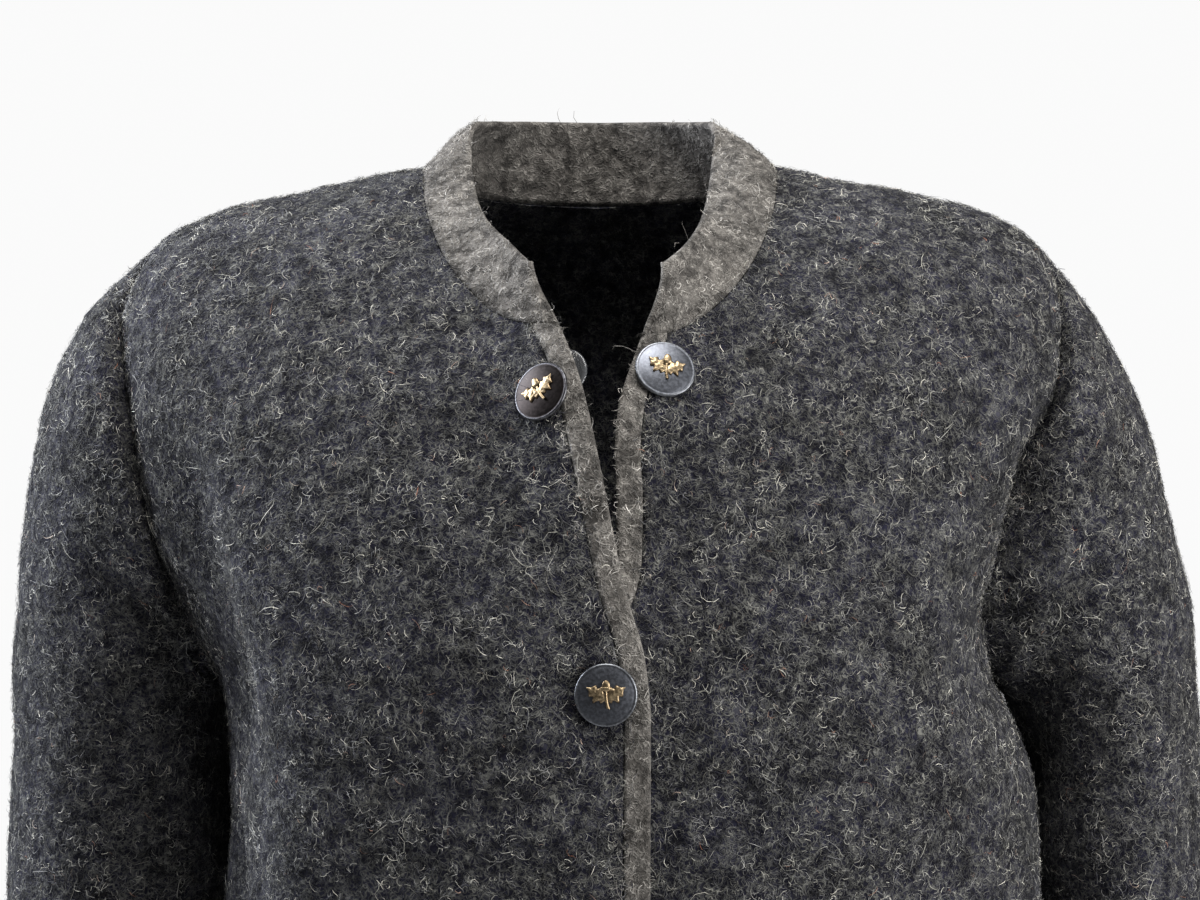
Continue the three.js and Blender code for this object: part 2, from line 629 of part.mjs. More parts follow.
function sleeve(side) {
  const { grid, lines, at } = sleeveGrid(side);
  const normals = ringNormals(grid);
  lines.forEach((line, c) => (normals[0][c] = line.root.normal));
  const moved = (by) =>
    drawBack(
      grid.map((row, r) =>
        row.map((p, c) => {
          const rise = r === 0 ? 0 : sleeveFoldRise(at(r), lines[c].angle);
          return p.clone().addScaledVector(normals[r][c], rise + by);
        }),
      ),
      { sides: false },
    );
  return wall(moved(0), moved(-CLOTH), true);
}

// ---------------------------------------------------------------- buttons
// A domed disc with a rounded rim and a shank, its axis on +Z and its underside at 0.
function buttonGeometry(shank) {
  const rim = BUTTON_RADIUS;
  const profile = [
    [0, -shank],
    [1.5, -shank],
    [1.5, 0],
    [rim - 1.2, 0],
    [rim, 0.9],
    [rim - 0.1, 1.9],
    [rim - 0.8, 2.3],
    [rim - 1.6, 2.1],
    [rim / 2, 2.7],
    [0, 2.9],
  ];
  return new THREE.LatheGeometry(
    profile.map(([r, h]) => new THREE.Vector2(r, h)),
    20,
  ).rotateX(Math.PI / 2);
}

const BADGE_BASE = 3.2; // above the button's underside
const BADGE_THICKNESS = 0.7;

// Outline of a lobed leaf from its foot at the origin to its tip on +X.
function leafOutline(length, width, lobes) {
  const side = [];
  const steps = 2 * lobes;
  for (let k = 1; k < steps; k++) {
    const t = k / steps;
    const lobe = k % 2 ? 1 : 0.62;
    side.push([length * t, (width / 2) * Math.sin(Math.PI * t ** 0.8) * lobe]);
  }
  return [[0, 0.35], ...side, [length, 0], ...side.map(([x, y]) => [x, -y]).reverse(), [0, -0.35]];
}

// A closed mesh as a solid for joining and cutting.
function solid(geometry) {
  const bare = geometry.index ? geometry.toNonIndexed() : geometry.clone();
  for (const name of Object.keys(bare.attributes)) {
    if (name !== "position") bare.deleteAttribute(name);
  }
  const merged = mergeVertices(bare, 1e-4);
  return new wasm.Manifold(
    new wasm.Mesh({
      numProp: 3,
      vertProperties: merged.attributes.position.array,
      triVerts: new Uint32Array(merged.index.array),
    }),
  );
}

function geometryOf(made) {
  const mesh = made.getMesh();
  return new THREE.BufferGeometry()
    .setAttribute("position", new THREE.Float32BufferAttribute(mesh.vertProperties, 3))
    .setIndex(Array.from(mesh.triVerts));
}

// Two leaves and an acorn on a short stem, laid flat on the button.
function badgeGeometry() {
  const plate = (outline, turn, x, y) =>
    solid(
      new THREE.ExtrudeGeometry(new THREE.Shape(outline.map(([a, b]) => new THREE.Vector2(a, b))), {
        depth: BADGE_THICKNESS,
        bevelEnabled: false,
      })
        .rotateZ(THREE.MathUtils.degToRad(turn))
        .translate(x, y, BADGE_BASE),
    );
  const acorn = solid(
    new THREE.SphereGeometry(2, 10, 6).scale(1, 1.35, 0.45).translate(0, 2.9, BADGE_BASE + 0.92),
  );
  const stem = solid(new THREE.BoxGeometry(1, 6, BADGE_THICKNESS).translate(0, -1.8, BADGE_BASE + BADGE_THICKNESS / 2));
  const leaves = [
    plate(leafOutline(8.6, 7, 3), 32, -0.4, -1.6),
    plate(leafOutline(8.6, 7, 3), 148, 0.4, -1.6),
  ];
  return geometryOf(leaves.reduce((made, leaf) => made.add(leaf), acorn.add(stem)));
}

// Where a button sits on a front: its place on the cloth, and the cloth's own normal there,
// rolled and folded as it is, turned and tipped a little more where the button hangs loose.
function buttonSeat(side, z, fromEdge = LAP, turned = 0, tipped = 0) {
  const x = frontEdge(side, z) + signOf(side) * fromEdge;
  const at = (dx, dz) => onBody(x + dx, z + dz, "front", side).point;
  const reach = 0.7 * BUTTON_RADIUS;
  const across = at(reach, 0).sub(at(-reach, 0));
  const upward = at(0, reach).sub(at(0, -reach));
  const axis = across
    .cross(upward)
    .normalize()
    .applyAxisAngle(V(0, 0, 1), THREE.MathUtils.degToRad(-turned))
    .applyAxisAngle(V(1, 0, 0), THREE.MathUtils.degToRad(-tipped));
  return { point: at(0, 0), axis };
}

// The wearer's right front, with a slit behind each closed button for its shank.
function rightFront() {
  const panel = panelWall(frontGrid("right"), "front", "right", frontMitres.right);
  const slitHeight = 21;
  const slitWidth = 4.4;
  const outline = [
    [0, -slitHeight / 2],
    [slitWidth / 2, -slitHeight / 5],
    [slitWidth / 2, slitHeight / 5],
    [0, slitHeight / 2],
    [-slitWidth / 2, slitHeight / 5],
    [-slitWidth / 2, -slitHeight / 5],
  ].map(([x, y]) => new THREE.Vector2(x, y));
  const depth = 12;
  let made = solid(panel);
  for (const z of CLOSED_BUTTON_Z) {
    const { point } = buttonSeat("right", z);
    const slit = new THREE.ExtrudeGeometry(new THREE.Shape(outline), { depth, bevelEnabled: false })
      .translate(0, 0, -depth / 2)
      .rotateX(Math.PI / 2)
      .translate(point.x, point.y, point.z);
    made = made.subtract(solid(slit));
  }
  return geometryOf(made);
}

// ---------------------------------------------------------------- the coat
const WOOL = new THREE.MeshStandardMaterial({ color: 0x3f4042, roughness: 1, metalness: 0 });
const TRIM = new THREE.MeshStandardMaterial({ color: 0x817c75, roughness: 1, metalness: 0 });
const GUNMETAL = new THREE.MeshStandardMaterial({ color: 0x4a4b52, roughness: 0.35, metalness: 0.9 });
const BRASS = new THREE.MeshStandardMaterial({ color: 0xa88f5c, roughness: 0.35, metalness: 1 });
const CLEAR = new THREE.MeshStandardMaterial({ color: 0xc9cdd0, roughness: 0.25, metalness: 0 });

const coat = new THREE.Group();

function add(name, geometry, material) {
  const mesh = new THREE.Mesh(geometry, material);
  mesh.name = name;
  coat.add(mesh);
  return mesh;
}

const mitres = (from, to) => NECK_SEAM.slice(from, to + 1).map((q) => q.mitre);
const neckEnd = NECK_SEAM.length - 1;
const backMitres = mitres(STEPS.frontNeck, STEPS.frontNeck + STEPS.backNeck);
const frontMitres = {
  right: mitres(1, STEPS.frontNeck),
  left: mitres(neckEnd - STEPS.frontNeck, neckEnd - 1).reverse(),
};
const bandMitres = {
  right: [NECK_SEAM[1], NECK_SEAM[0], NECK_SEAM[0]].map((q) => q.mitre),
  left: [NECK_SEAM[neckEnd - 1], NECK_SEAM[neckEnd], NECK_SEAM[neckEnd]].map((q) => q.mitre),
};
add("back", panelWall(backGrid(), "back", "left", Array(STEPS.shoulder).concat(backMitres)), WOOL);
add("front_right", rightFront(), WOOL);
add("front_left", panelWall(frontGrid("left"), "front", "left", frontMitres.left), WOOL);
add("sleeve_right", sleeve("right"), WOOL);
add("sleeve_left", sleeve("left"), WOOL);
add("collar", collar(), TRIM);
add("band_right", panelWall(bandGrid("right"), "front", "right", bandMitres.right, BAND_EXTRA), TRIM);
add("band_left", panelWall(bandGrid("left"), "front", "left", bandMitres.left, BAND_EXTRA), TRIM);

const badge = badgeGeometry();

// A button and its badge, with the shank ending just clear of the cloth that carries it.
function addButton(name, { point, axis }, shankLength) {
  const pieces = [
    [name, buttonGeometry(shankLength), GUNMETAL],
    [name.replace("button", "badge"), badge, BRASS],
  ];
  for (const [pieceName, geometry, material] of pieces) {
    const mesh = add(pieceName, geometry, material);
    mesh.position.copy(point).addScaledVector(axis, BUTTON_LIFT);
    mesh.quaternion.setFromUnitVectors(V(0, 0, 1), axis);
  }
}

for (const [name, { z, fromEdge, turned, tipped }] of Object.entries(TOP_BUTTONS)) {
  const side = name.endsWith("right") ? "right" : "left";
  addButton(name, buttonSeat(side, z, fromEdge, turned, tipped), BUTTON_LIFT - SEAM_GAP);
}
CLOSED_BUTTON_Z.forEach((z, k) => {
  const throughLap = 2 * LAP_LIFT;
  addButton(`button_${k + 2}`, buttonSeat("right", z), BUTTON_LIFT + throughLap - SEAM_GAP);
});

// The flat counter-button sewn behind the open top button. It hangs by its thread, a little
// nearer the edge than the button, so that its rim looks past the front edge.
{
  const { z } = TOP_BUTTONS.button_top_right;
  const { point, axis } = buttonSeat("right", z + COUNTER_BUTTON.above, COUNTER_BUTTON.fromEdge);
  const { radius, thickness, below } = COUNTER_BUTTON;
  const disc = new THREE.CylinderGeometry(radius, radius, thickness, 28).rotateX(Math.PI / 2);
  const mesh = add("counter_button", disc, CLEAR);
  mesh.position.copy(point.addScaledVector(axis, -CLOTH - below - thickness / 2));
  mesh.quaternion.setFromUnitVectors(V(0, 0, 1), axis);
}

export default coat;
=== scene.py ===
import math

import bmesh
import bpy
import numpy as np
from mathutils import Matrix, Vector


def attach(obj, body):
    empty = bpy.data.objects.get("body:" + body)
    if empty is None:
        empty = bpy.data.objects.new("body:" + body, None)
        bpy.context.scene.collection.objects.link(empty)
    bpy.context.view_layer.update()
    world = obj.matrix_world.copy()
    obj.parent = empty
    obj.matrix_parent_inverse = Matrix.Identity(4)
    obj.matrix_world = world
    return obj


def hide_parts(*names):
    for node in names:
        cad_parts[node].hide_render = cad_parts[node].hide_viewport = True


# A boiled-wool coat, worn and filled out. Its forms are worked out in millimetres, +Z up, the
# coat facing -Y and +X to the wearer's left, and are scaled to metres as each mesh is made.
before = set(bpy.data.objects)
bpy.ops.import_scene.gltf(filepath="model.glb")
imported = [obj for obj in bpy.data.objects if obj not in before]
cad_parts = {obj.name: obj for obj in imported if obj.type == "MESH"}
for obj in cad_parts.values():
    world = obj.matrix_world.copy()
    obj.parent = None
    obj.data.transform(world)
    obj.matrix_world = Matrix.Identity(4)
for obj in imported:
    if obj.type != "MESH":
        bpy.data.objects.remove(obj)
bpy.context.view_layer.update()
MM = 0.001
BODY_NAME = "root"

# ---- camera
FRAME_PIXELS = (1200, 900)
CAMERA_DISTANCE = 1.100  # from the plane of the shoulders
CAMERA_HEIGHT = -0.119
FRAME_WIDTH = 0.497  # what the view takes in at that plane
SENSOR = 36.0

camera_data = bpy.data.cameras.new("camera")
camera_data.sensor_width = SENSOR
camera_data.lens = SENSOR * CAMERA_DISTANCE / FRAME_WIDTH
camera = bpy.data.objects.new("camera", camera_data)
camera.location = (0, -CAMERA_DISTANCE, CAMERA_HEIGHT)
camera.rotation_euler = (math.pi / 2, 0, 0)
bpy.context.collection.objects.link(camera)
bpy.context.scene.camera = camera
FRAME_BOTTOM = (CAMERA_HEIGHT - FRAME_WIDTH * FRAME_PIXELS[1] / FRAME_PIXELS[0] / 2) / MM

# ---- the coat's sizes
CLOTH = 3.0  # thickness of the boiled wool
SEAM_GAP = 0.3
HEM_Z = -790
ARMPIT_Z = -212
SHOULDER_Z = -34
NECK_POINT_Z = -2
NECK_DROP_FRONT = 75
NECK_DROP_BACK = 10
NECK_ROUNDNESS = 1.8
SHOULDER_SPACING = 1.25  # above 1, steps lie closer at the neck
SIDE_SPACING = 1.25  # above 1, rows lie closer at the armpit
RING_ROUNDNESS = 2.3  # power of a body section, 2 is an ellipse
ARMPIT_SPAN = (-300, -124)  # heights between which the armpits cut into the sides
PLAIN_SHARE = 0.72  # share of the half width that they leave plain
SIDE_FADE = 0.05  # share over which folds die out at the side seam
BAND_WIDTH = 10
BAND_EXTRA = 0.3  # how far the bands stand out past the cloth on either side
LAP = 16  # from the front edge to the closed buttons
BUTTON_RADIUS = 11.5
BUTTON_LIFT = 1.2

# Steps of the fine grids. Pieces that share a seam share its steps.
SIDE_STEPS = 80
ARMHOLE_STEPS = 40
FRONT_NECK_STEPS = 22
BACK_NECK_STEPS = 28
SHOULDER_STEPS = 27
COLLAR_STEPS = 14
BAND_STEPS = 6
SLEEVE_STEPS_PER_RING = 5


def columns(names, *rows):
    """A short table with named columns."""
    return dict(zip(names.split(), np.array(rows, dtype=float).T))


# Horizontal sections of the worn body, upwards from the hem: half width to either side, and
# depth to the front and the back.
BODY = columns(
    "z right left front back",
    (-790, 200, 206, 142, 134),
    (-670, 190, 196, 136, 124),
    (-550, 180, 186, 129, 114),
    (-400, 164, 177, 123, 101),
    (-300, 153.5, 180, 130, 106),
    (-264, 150.5, 178, 133, 110),
    (-243, 150.5, 174.5, 134, 112),
    (-222, 153.5, 166, 135, 115),
    (-212, 156.5, 160, 134, 115),
    (-190, 167, 157.5, 133, 116),
    (-150, 186, 169, 126, 115),
    (-124, 193.5, 181, 119, 112),
    (-100, 197, 189, 110, 108),
    (-70, 197.5, 191, 92, 99),
    (-46, 190, 187, 72, 86),
    (-32, 179, 177, 56, 75),
    (-20, 154, 155, 40, 63),
    (-13, 123, 127, 31, 56),
    (-7, 95, 100, 22, 48),
    (-2, 72.5, 72.5, 14, 41),
    (3, 60, 60, 8, 34),
)
EDGES = {
    "right": columns(
        "z x",
        (-790, 19),
        (-285, 18.5),
        (-218, 18.7),
        (-196, 16.6),
        (-169, 9),
        (-145, 4),
        (-126, 0),
        (-108, -4),
        (-90, -9.5),
        (-77, -15),
    ),
    "left": columns(
        "z x",
        (-790, -13),
        (-285, -13.5),
        (-240, -14),
        (-208, -11),
        (-185, -2),
        (-160, 5.5),
        (-137, 6),
        (-119, 5.2),
        (-104, 6.5),
        (-90, 10.5),
        (-77, 15.5),
    ),
}
LAP_LIFT = 2.3  # how far each front moves off the middle of the lap
LAP_BLEND = (20, 50)  # how far out from the centre line the lap starts and ends dying out
# The roll of the open neck: its height, half span, reach from the edge, and rise on each front.
ROLL = {"z": -100, "span": 48, "reach": 30, "right": 9, "left": 5}
ARMHOLE_CUT = {"front": 0.035, "back": 0.06}  # how far armholes bow in, of the half width

# Top edge of the collar from a front corner to the centre back.
COLLAR_TOP = columns(
    "right left y z",
    (28, 25.5, -96, -48.5),
    (35.5, 34, -79, -39),
    (46.5, 41, -52, -25),
    (52, 45, -23, -5),
    (53, 47.5, 7, 16.5),
    (48.5, 45, 28, 21),
    (37, 35.5, 42, 22.5),
    (20, 19.5, 50, 23),
    (0, 0, 53, 23),
)
COLLAR_BOW = 1.6

# Sleeve rings after the armhole: outermost and underarm points, half depth, shift forward.
SLEEVES = {
    "right": columns(
        "out_x out_z under_x under_z depth forward",
        (207, -57, 163, -216, 51, -2),
        (224.2, -82, 159.5, -220, 54, -8),
        (233.6, -107, 159, -226, 58, -16),
        (241.3, -146, 157.5, -237, 61, -24),
        (245.7, -190, 156, -252, 60, -28),
        (248.1, -237, 155, -274, 59, -30),
        (250, -292, 155, -306, 58, -31),
        (251.8, -345, 158, -345, 57, -27),
        (255.1, -400, 167, -395, 56, -18),
        (260.7, -455, 181, -446, 54, -3),
        (266.3, -510, 195.5, -498, 51, 14),
        (269.9, -562, 201.2, -548, 48, 30),
        (271.4, -604, 204.8, -590, 46, 42),
    ),
    "left": columns(
        "out_x out_z under_x under_z depth forward",
        (198, -55, 165, -217, 51, -2),
        (214.2, -81, 168, -220, 54, -7),
        (227.6, -107, 172, -226, 59, -16),
        (239.3, -147, 176, -238, 63, -24),
        (248.2, -190, 178.5, -254, 63, -28),
        (252.2, -237, 179.5, -275, 63, -30),
        (254.6, -292, 180, -307, 62, -31),
        (255.8, -345, 180, -346, 60, -27),
        (258.2, -400, 182, -395, 58, -18),
        (262.8, -455, 189, -446, 55, -3),
        (267.4, -510, 199.5, -498, 51, 14),
        (270.9, -562, 204.2, -548, 48, 30),
        (272.5, -604, 207.9, -590, 46, 42),
    ),
}

# Folds and creases: a line seen from the front, its half width and its rise.
# The first rows of each are the large folds, and the rest are the finer creases.
FRONT_FOLDS = columns(
    "x0 z0 x1 z1 width rise",
    (-145, -220, -145, -620, 5.5, -12),
    (-113, -205, -112, -460, 15, 4),
    (-172, -96, -136, -252, 12, -11),
    (184, -88, 157, -222, 11, -9),
    (-86, -330, -122, -830, 24, 6),
    (-50, -380, -66, -830, 22, -5),
    (74, -350, 92, -830, 24, -5),
    (112, -300, 142, -830, 24, 6),
    (-178, -70, -112, -152, 9, -1.0),
    (-160, -128, -96, -250, 11, 1.1),
    (172, -66, 118, -140, 9, -1.0),
    (160, -140, 104, -236, 12, 1.0),
    (-60, -210, -84, -330, 13, -0.9),
    (30, -212, 96, -262, 10, 0.8),
    (28, -232, 84, -300, 9, -0.9),
    (-20, -330, -92, -372, 10, 0.9),
    (24, -340, 100, -396, 11, -0.9),
    (-96, -500, -104, -720, 11, -1.6),
    (40, -470, 46, -800, 12, 1.6),
    (126, -560, 134, -800, 10, -1.8),
)
BACK_FOLDS = columns(
    "x0 z0 x1 z1 width rise",
    (-120, -120, -108, -330, 20, -2.5),
    (124, -120, 114, -330, 20, -4),
    (-96, -360, -124, -830, 26, 6),
    (-36, -400, -50, -830, 26, -6),
    (20, -380, 22, -830, 28, 6),
    (80, -400, 98, -830, 26, -5),
    (-150, -96, -60, -168, 12, 1.3),
    (150, -92, 66, -176, 12, 1.3),
    (-84, -50, 80, -58, 10, -1.2),
    (-70, -300, -8, -342, 11, -1.3),
    (96, -296, 34, -350, 12, -1.2),
    (-140, -260, -92, -318, 9, 1.4),
    (146, -250, 104, -322, 9, 1.4),
    (-120, -540, -128, -780, 12, -1.8),
    (56, -560, 60, -830, 12, 1.7),
    (136, -600, 142, -810, 10, 1.6),
)
FOLD_FADE = 0.3  # share of a fold's length over which it dies out at either end

# Folds of a sleeve: ring, degrees from the outermost line (90 is the front), degrees it turns
# per ring, half widths in rings and degrees, and rise.
SLEEVE_FOLDS = columns(
    "ring turn twist along round rise",
    (7.2, 150, 18, 0.42, 62, -5),
    (8.1, 165, 14, 0.4, 58, -5),
    (9.0, 150, 18, 0.42, 55, -4),
    (3.2, 96, -20, 1.5, 24, -3),
    (6.4, 120, 24, 0.28, 40, 1.3),
    (7.7, 110, 20, 0.24, 34, 1.5),
    (8.6, 130, 22, 0.22, 36, 1.4),
    (9.7, 120, 20, 0.3, 44, -1.6),
    (10.6, 160, 14, 0.3, 40, 1.3),
    (7.4, 250, -16, 0.3, 40, -1.4),
    (8.3, 240, -20, 0.28, 44, 1.5),
    (9.3, 255, -16, 0.3, 38, -1.5),
    (5.0, 60, 10, 0.5, 26, 0.9),
    (11.4, 60, 12, 0.4, 46, 1.1),
)

# The cloth's own unevenness: wave length and height of each seeded set of waves.
WAVES = ((46, 0.45), (22, 0.24), (9, 0.13))
WAVES_PER_SET = 9

TOP_BUTTONS = {
    "button_top_right": {"z": -101, "from_edge": 14.5, "turned": 8, "tipped": 4},
    "button_top_left": {"z": -90, "from_edge": 13.5, "turned": 0, "tipped": 0},
}
CLOSED_BUTTON_Z = (-208, -323, -438, -553)
COUNTER_BUTTON = {"radius": 10, "thickness": 1.4, "from_edge": 7.2, "above": 8.5, "below": 2.2}


# ---- small helpers
def mix(a, b, t):
    return a + (b - a) * t


def smooth(t):
    t = np.clip(t, 0, 1)
    return t * t * (3 - 2 * t)


def unit(v):
    return v / np.maximum(np.linalg.norm(v, axis=-1, keepdims=True), 1e-12)


def xyz(x, y, z):
    return np.stack(np.broadcast_arrays(x, y, z), axis=-1).astype(float)


def column(rows, key, z):
    """Reads one column at height z, with a cubic that never overshoots its rows."""
    heights, values = rows["z"], rows[key]
    z = np.asarray(z, dtype=float)
    slope = np.diff(values) / np.diff(heights)
    below, above = slope[:-1], slope[1:]
    same = below * above > 0
    tangent = np.concatenate([slope[:1], np.zeros(len(slope) - 1), slope[-1:]])
    tangent[1:-1][same] = (2 * below * above)[same] / (below + above)[same]
    i = np.clip(np.searchsorted(heights, z, side="right") - 1, 0, len(heights) - 2)
    h = heights[i + 1] - heights[i]
    t = np.clip((z - heights[i]) / h, 0, 1)
    return (
        (1 + 2 * t) * (1 - t) ** 2 * values[i]
        + t * (1 - t) ** 2 * h * tangent[i]
        + t * t * (3 - 2 * t) * values[i + 1]
        + t * t * (t - 1) * h * tangent[i + 1]
    )


def through(points, at):
    """A smooth curve through points (first axis), read at fractional indices."""
    last = len(points) - 1
    i = np.minimum(last - 1, np.floor(at)).astype(int)
    t = (at - i).reshape((-1,) + (1,) * (points.ndim - 1))
    a, b, c, d = (points[np.clip(i + k, 0, last)] for k in (-1, 0, 1, 2))
    return 0.5 * (
        2 * b
        + (c - a) * t
        + (2 * a - 5 * b + 4 * c - d) * t**2
        + (3 * b - a - 3 * c + d) * t**3
    )


def side_sign(side):
    return -1 if side == "right" else 1


def wave_set(rng, length):
    """Seeded directions and phases of a set of waves about one length."""
    directions = unit(rng.normal(size=(WAVES_PER_SET, 3)))
    phases = rng.uniform(0, 2 * math.pi, WAVES_PER_SET)
    spread = rng.uniform(0.75, 1.35, WAVES_PER_SET)
    return directions * (2 * math.pi / length * spread)[:, None], phases


def ripple(points, waves):
    """A set of waves added up at each point, about -2 to 2."""
    directions, phases = waves
    return np.sin(points @ directions.T + phases).sum(axis=-1) / math.sqrt(WAVES_PER_SET / 2)


wave_rng = np.random.default_rng(11)
CLOTH_WAVES = [(wave_set(wave_rng, length), height) for length, height in WAVES]
CLUMP_WAVES = wave_set(wave_rng, 6.5)


def unevenness(points):
    """How far the cloth stands out at each point, the same for every piece."""
    return sum(height * ripple(points, waves) for waves, height in CLOTH_WAVES)


# ---- the worn form
def half_width(x, z):
    return np.where(np.asarray(x) < 0, column(BODY, "right", z), column(BODY, "left", z))


def outwards(x, z):
    """How far out a point lies, 0 at the centre and 1 at the side: the armpits cut into the
    sides alone."""
    low, high = ARMPIT_SPAN
    cut = np.abs(x) / half_width(x, z)
    plain = np.abs(x) / mix(half_width(x, low), half_width(x, high), (z - low) / (high - low))
    eased = mix(plain, cut, smooth((cut - PLAIN_SHARE) / (1 - PLAIN_SHARE)))
    return np.where((z <= low) | (z >= high), cut, eased)


def fold_rise(folds, x, z):
    rise = np.zeros(np.broadcast(x, z).shape)
    for x0, z0, x1, z1, width, height in zip(*folds.values()):
        dx, dz = x1 - x0, z1 - z0
        along = ((x - x0) * dx + (z - z0) * dz) / (dx * dx + dz * dz)
        aside = ((x - x0) * dz - (z - z0) * dx) / math.hypot(dx, dz)
        ends = smooth(along / FOLD_FADE) * smooth((1 - along) / FOLD_FADE)
        rise += height * ends * np.exp(-((aside / width) ** 2))
    return rise


def front_lift(front, x, z):
    """The lap and the roll of the front that a point belongs to."""
    sign = -side_sign(front)
    lapped = 1 - smooth((-sign * x - LAP_BLEND[0]) / (LAP_BLEND[1] - LAP_BLEND[0]))
    inward = sign * (column(EDGES[front], "x", z) - x)
    near = 1 - smooth(inward / ROLL["reach"])
    opened = np.exp(-(((z - ROLL["z"]) / ROLL["span"]) ** 2))
    return sign * LAP_LIFT * lapped + ROLL[front] * opened * near


def on_body(x, z, face, front):
    """Points of the form seen at (x, z) and the plain form's normals."""
    x, z = np.broadcast_arrays(np.asarray(x, dtype=float), np.asarray(z, dtype=float))
    n = RING_ROUNDNESS
    deep = column(BODY, face, z)
    u = np.minimum(1, outwards(x, z))
    v = (1 - u**n) ** (1 / n)
    facing = -1 if face == "front" else 1
    step = 0.5
    aside = (outwards(x + step, z) - outwards(x - step, z)) / (2 * step)
    widening = (outwards(x, z + step) - outwards(x, z - step)) / (2 * step)
    deepening = (column(BODY, face, z + step) - column(BODY, face, z - step)) / (2 * step)
    normal = unit(
        xyz(
            u ** (n - 1) * aside,
            facing * v ** (n - 1) / deep,
            u ** (n - 1) * widening - v**n / deep * deepening,
        )
    )
    folds = FRONT_FOLDS if face == "front" else BACK_FOLDS
    rise = fold_rise(folds, x, z) * smooth((1 - u) / SIDE_FADE)
    if face == "front":
        rise = rise + front_lift(front, x, z)
    return xyz(x, facing * deep * v, z) + normal * rise[..., None], normal


# ---- seam lines, as (x, z)
def armhole(side, face, t):
    z = mix(ARMPIT_Z, SHOULDER_Z, (1 - np.cos(math.pi * t)) / 2)
    cut = ARMHOLE_CUT[face] * np.sin(math.pi * np.clip(t, 0, 1)) ** RING_ROUNDNESS
    sign = side_sign(side)
    return np.stack([sign * half_width(sign, z) * (1 - cut), z], axis=-1)


def shoulder(side, t):
    z = mix(NECK_POINT_Z, SHOULDER_Z, t**SHOULDER_SPACING)
    sign = side_sign(side)
    return np.stack([sign * half_width(sign, z), z], axis=-1)


def front_edge(side, z):
    return column(EDGES[side], "x", z)


def front_neck(side, step):
    """Front neckline: step 0 at the front edge, 1 at the band's end, then to the neck point."""
    sign = side_sign(side)
    edge = front_edge(side, NECK_POINT_Z - NECK_DROP_FRONT)
    reach = sign * half_width(sign, NECK_POINT_Z) - edge
    power = 2 / NECK_ROUNDNESS
    first = math.asin((BAND_WIDTH / abs(reach)) ** (1 / power))
    rest = mix(first, math.pi / 2, (step - 1) / (FRONT_NECK_STEPS - 1))
    angle = np.where(step < 1, step * first, rest)
    x = edge + reach * np.sin(angle) ** power
    z = NECK_POINT_Z - NECK_DROP_FRONT * np.abs(np.cos(angle)) ** power
    return np.stack([x, z], axis=-1)


def back_neck(t):
    angle = mix(-math.pi / 2, math.pi / 2, t)
    x = np.sin(angle)
    z = NECK_POINT_Z - NECK_DROP_BACK * np.cos(angle)
    return np.stack([x * half_width(x, NECK_POINT_Z), z], axis=-1)


def row_heights(top):
    """Heights of the grid rows along a front edge or a side seam, hem first."""
    low = np.arange(SIDE_STEPS + 1)
    high = np.arange(1, ARMHOLE_STEPS + 1)
    below = mix(ARMPIT_Z, HEM_Z, (1 - low / SIDE_STEPS) ** SIDE_SPACING)
    above = mix(ARMPIT_Z, top, np.sin(math.pi / 2 * high / ARMHOLE_STEPS))
    return np.concatenate([below, above])


def side_line(side, face):
    """Side seam and armhole in one line, hem first."""
    z = row_heights(0)[:SIDE_STEPS]
    sign = side_sign(side)
    seam = np.stack([sign * half_width(sign, z), z], axis=-1)
    shares = np.arange(ARMHOLE_STEPS + 1) / ARMHOLE_STEPS
    return np.concatenate([seam, armhole(side, face, shares)])


# ---- grids
def fill(bottom, top, left, right):
    """Fills a four-sided outline in (x, z), each side a list of points."""
    t = ((left[:, 1] - left[0, 1]) / (left[-1, 1] - left[0, 1]))[:, None, None]
    s = np.linspace(0, 1, len(bottom))[None, :, None]
    corners = mix(mix(bottom[0], bottom[-1], s), mix(top[0], top[-1], s), t)
    return mix(bottom[None], top[None], t) + mix(left[:, None], right[:, None], s) - corners


def front_grid(side):
    sign = side_sign(side)
    neck = front_neck(side, np.arange(1, FRONT_NECK_STEPS))
    top = np.concatenate([neck, shoulder(side, np.arange(SHOULDER_STEPS + 1) / SHOULDER_STEPS)])
    z = row_heights(top[0, 1])
    left = np.stack([front_edge(side, z) + sign * BAND_WIDTH, z], axis=-1)
    left[-1] = top[0]
    wide = sign * half_width(sign, HEM_Z)
    angles = np.linspace(math.asin(left[0, 0] / wide), math.pi / 2, len(top))
    bottom = np.stack([wide * np.sin(angles), np.full(len(top), HEM_Z)], axis=-1)
    return fill(bottom, top, left, side_line(side, "front"))


def band_grid(side):
    sign = side_sign(side)
    corner = front_neck(side, np.array([0.0, 1.0]))
    z = row_heights(corner[1, 1])
    inner = np.stack([front_edge(side, z) + sign * BAND_WIDTH, z], axis=-1)
    inner[-1] = corner[1]
    edge_z = mix(HEM_Z, corner[0, 1], (z - HEM_Z) / (corner[1, 1] - HEM_Z))
    outer = np.stack([front_edge(side, edge_z), edge_z], axis=-1)
    return mix(inner[:, None], outer[:, None], np.linspace(0, 1, BAND_STEPS + 1)[None, :, None])


def back_grid():
    shares = np.arange(1, SHOULDER_STEPS + 1) / SHOULDER_STEPS
    neck = back_neck(np.arange(BACK_NECK_STEPS + 1) / BACK_NECK_STEPS)
    top = np.concatenate([shoulder("right", shares)[::-1], neck, shoulder("left", shares)])
    across = np.sin(np.linspace(-math.pi / 2, math.pi / 2, len(top)))
    bottom = np.stack([across * half_width(across, HEM_Z), np.full(len(top), HEM_Z)], axis=-1)
    return fill(bottom, top, side_line("right", "back"), side_line("left", "back"))


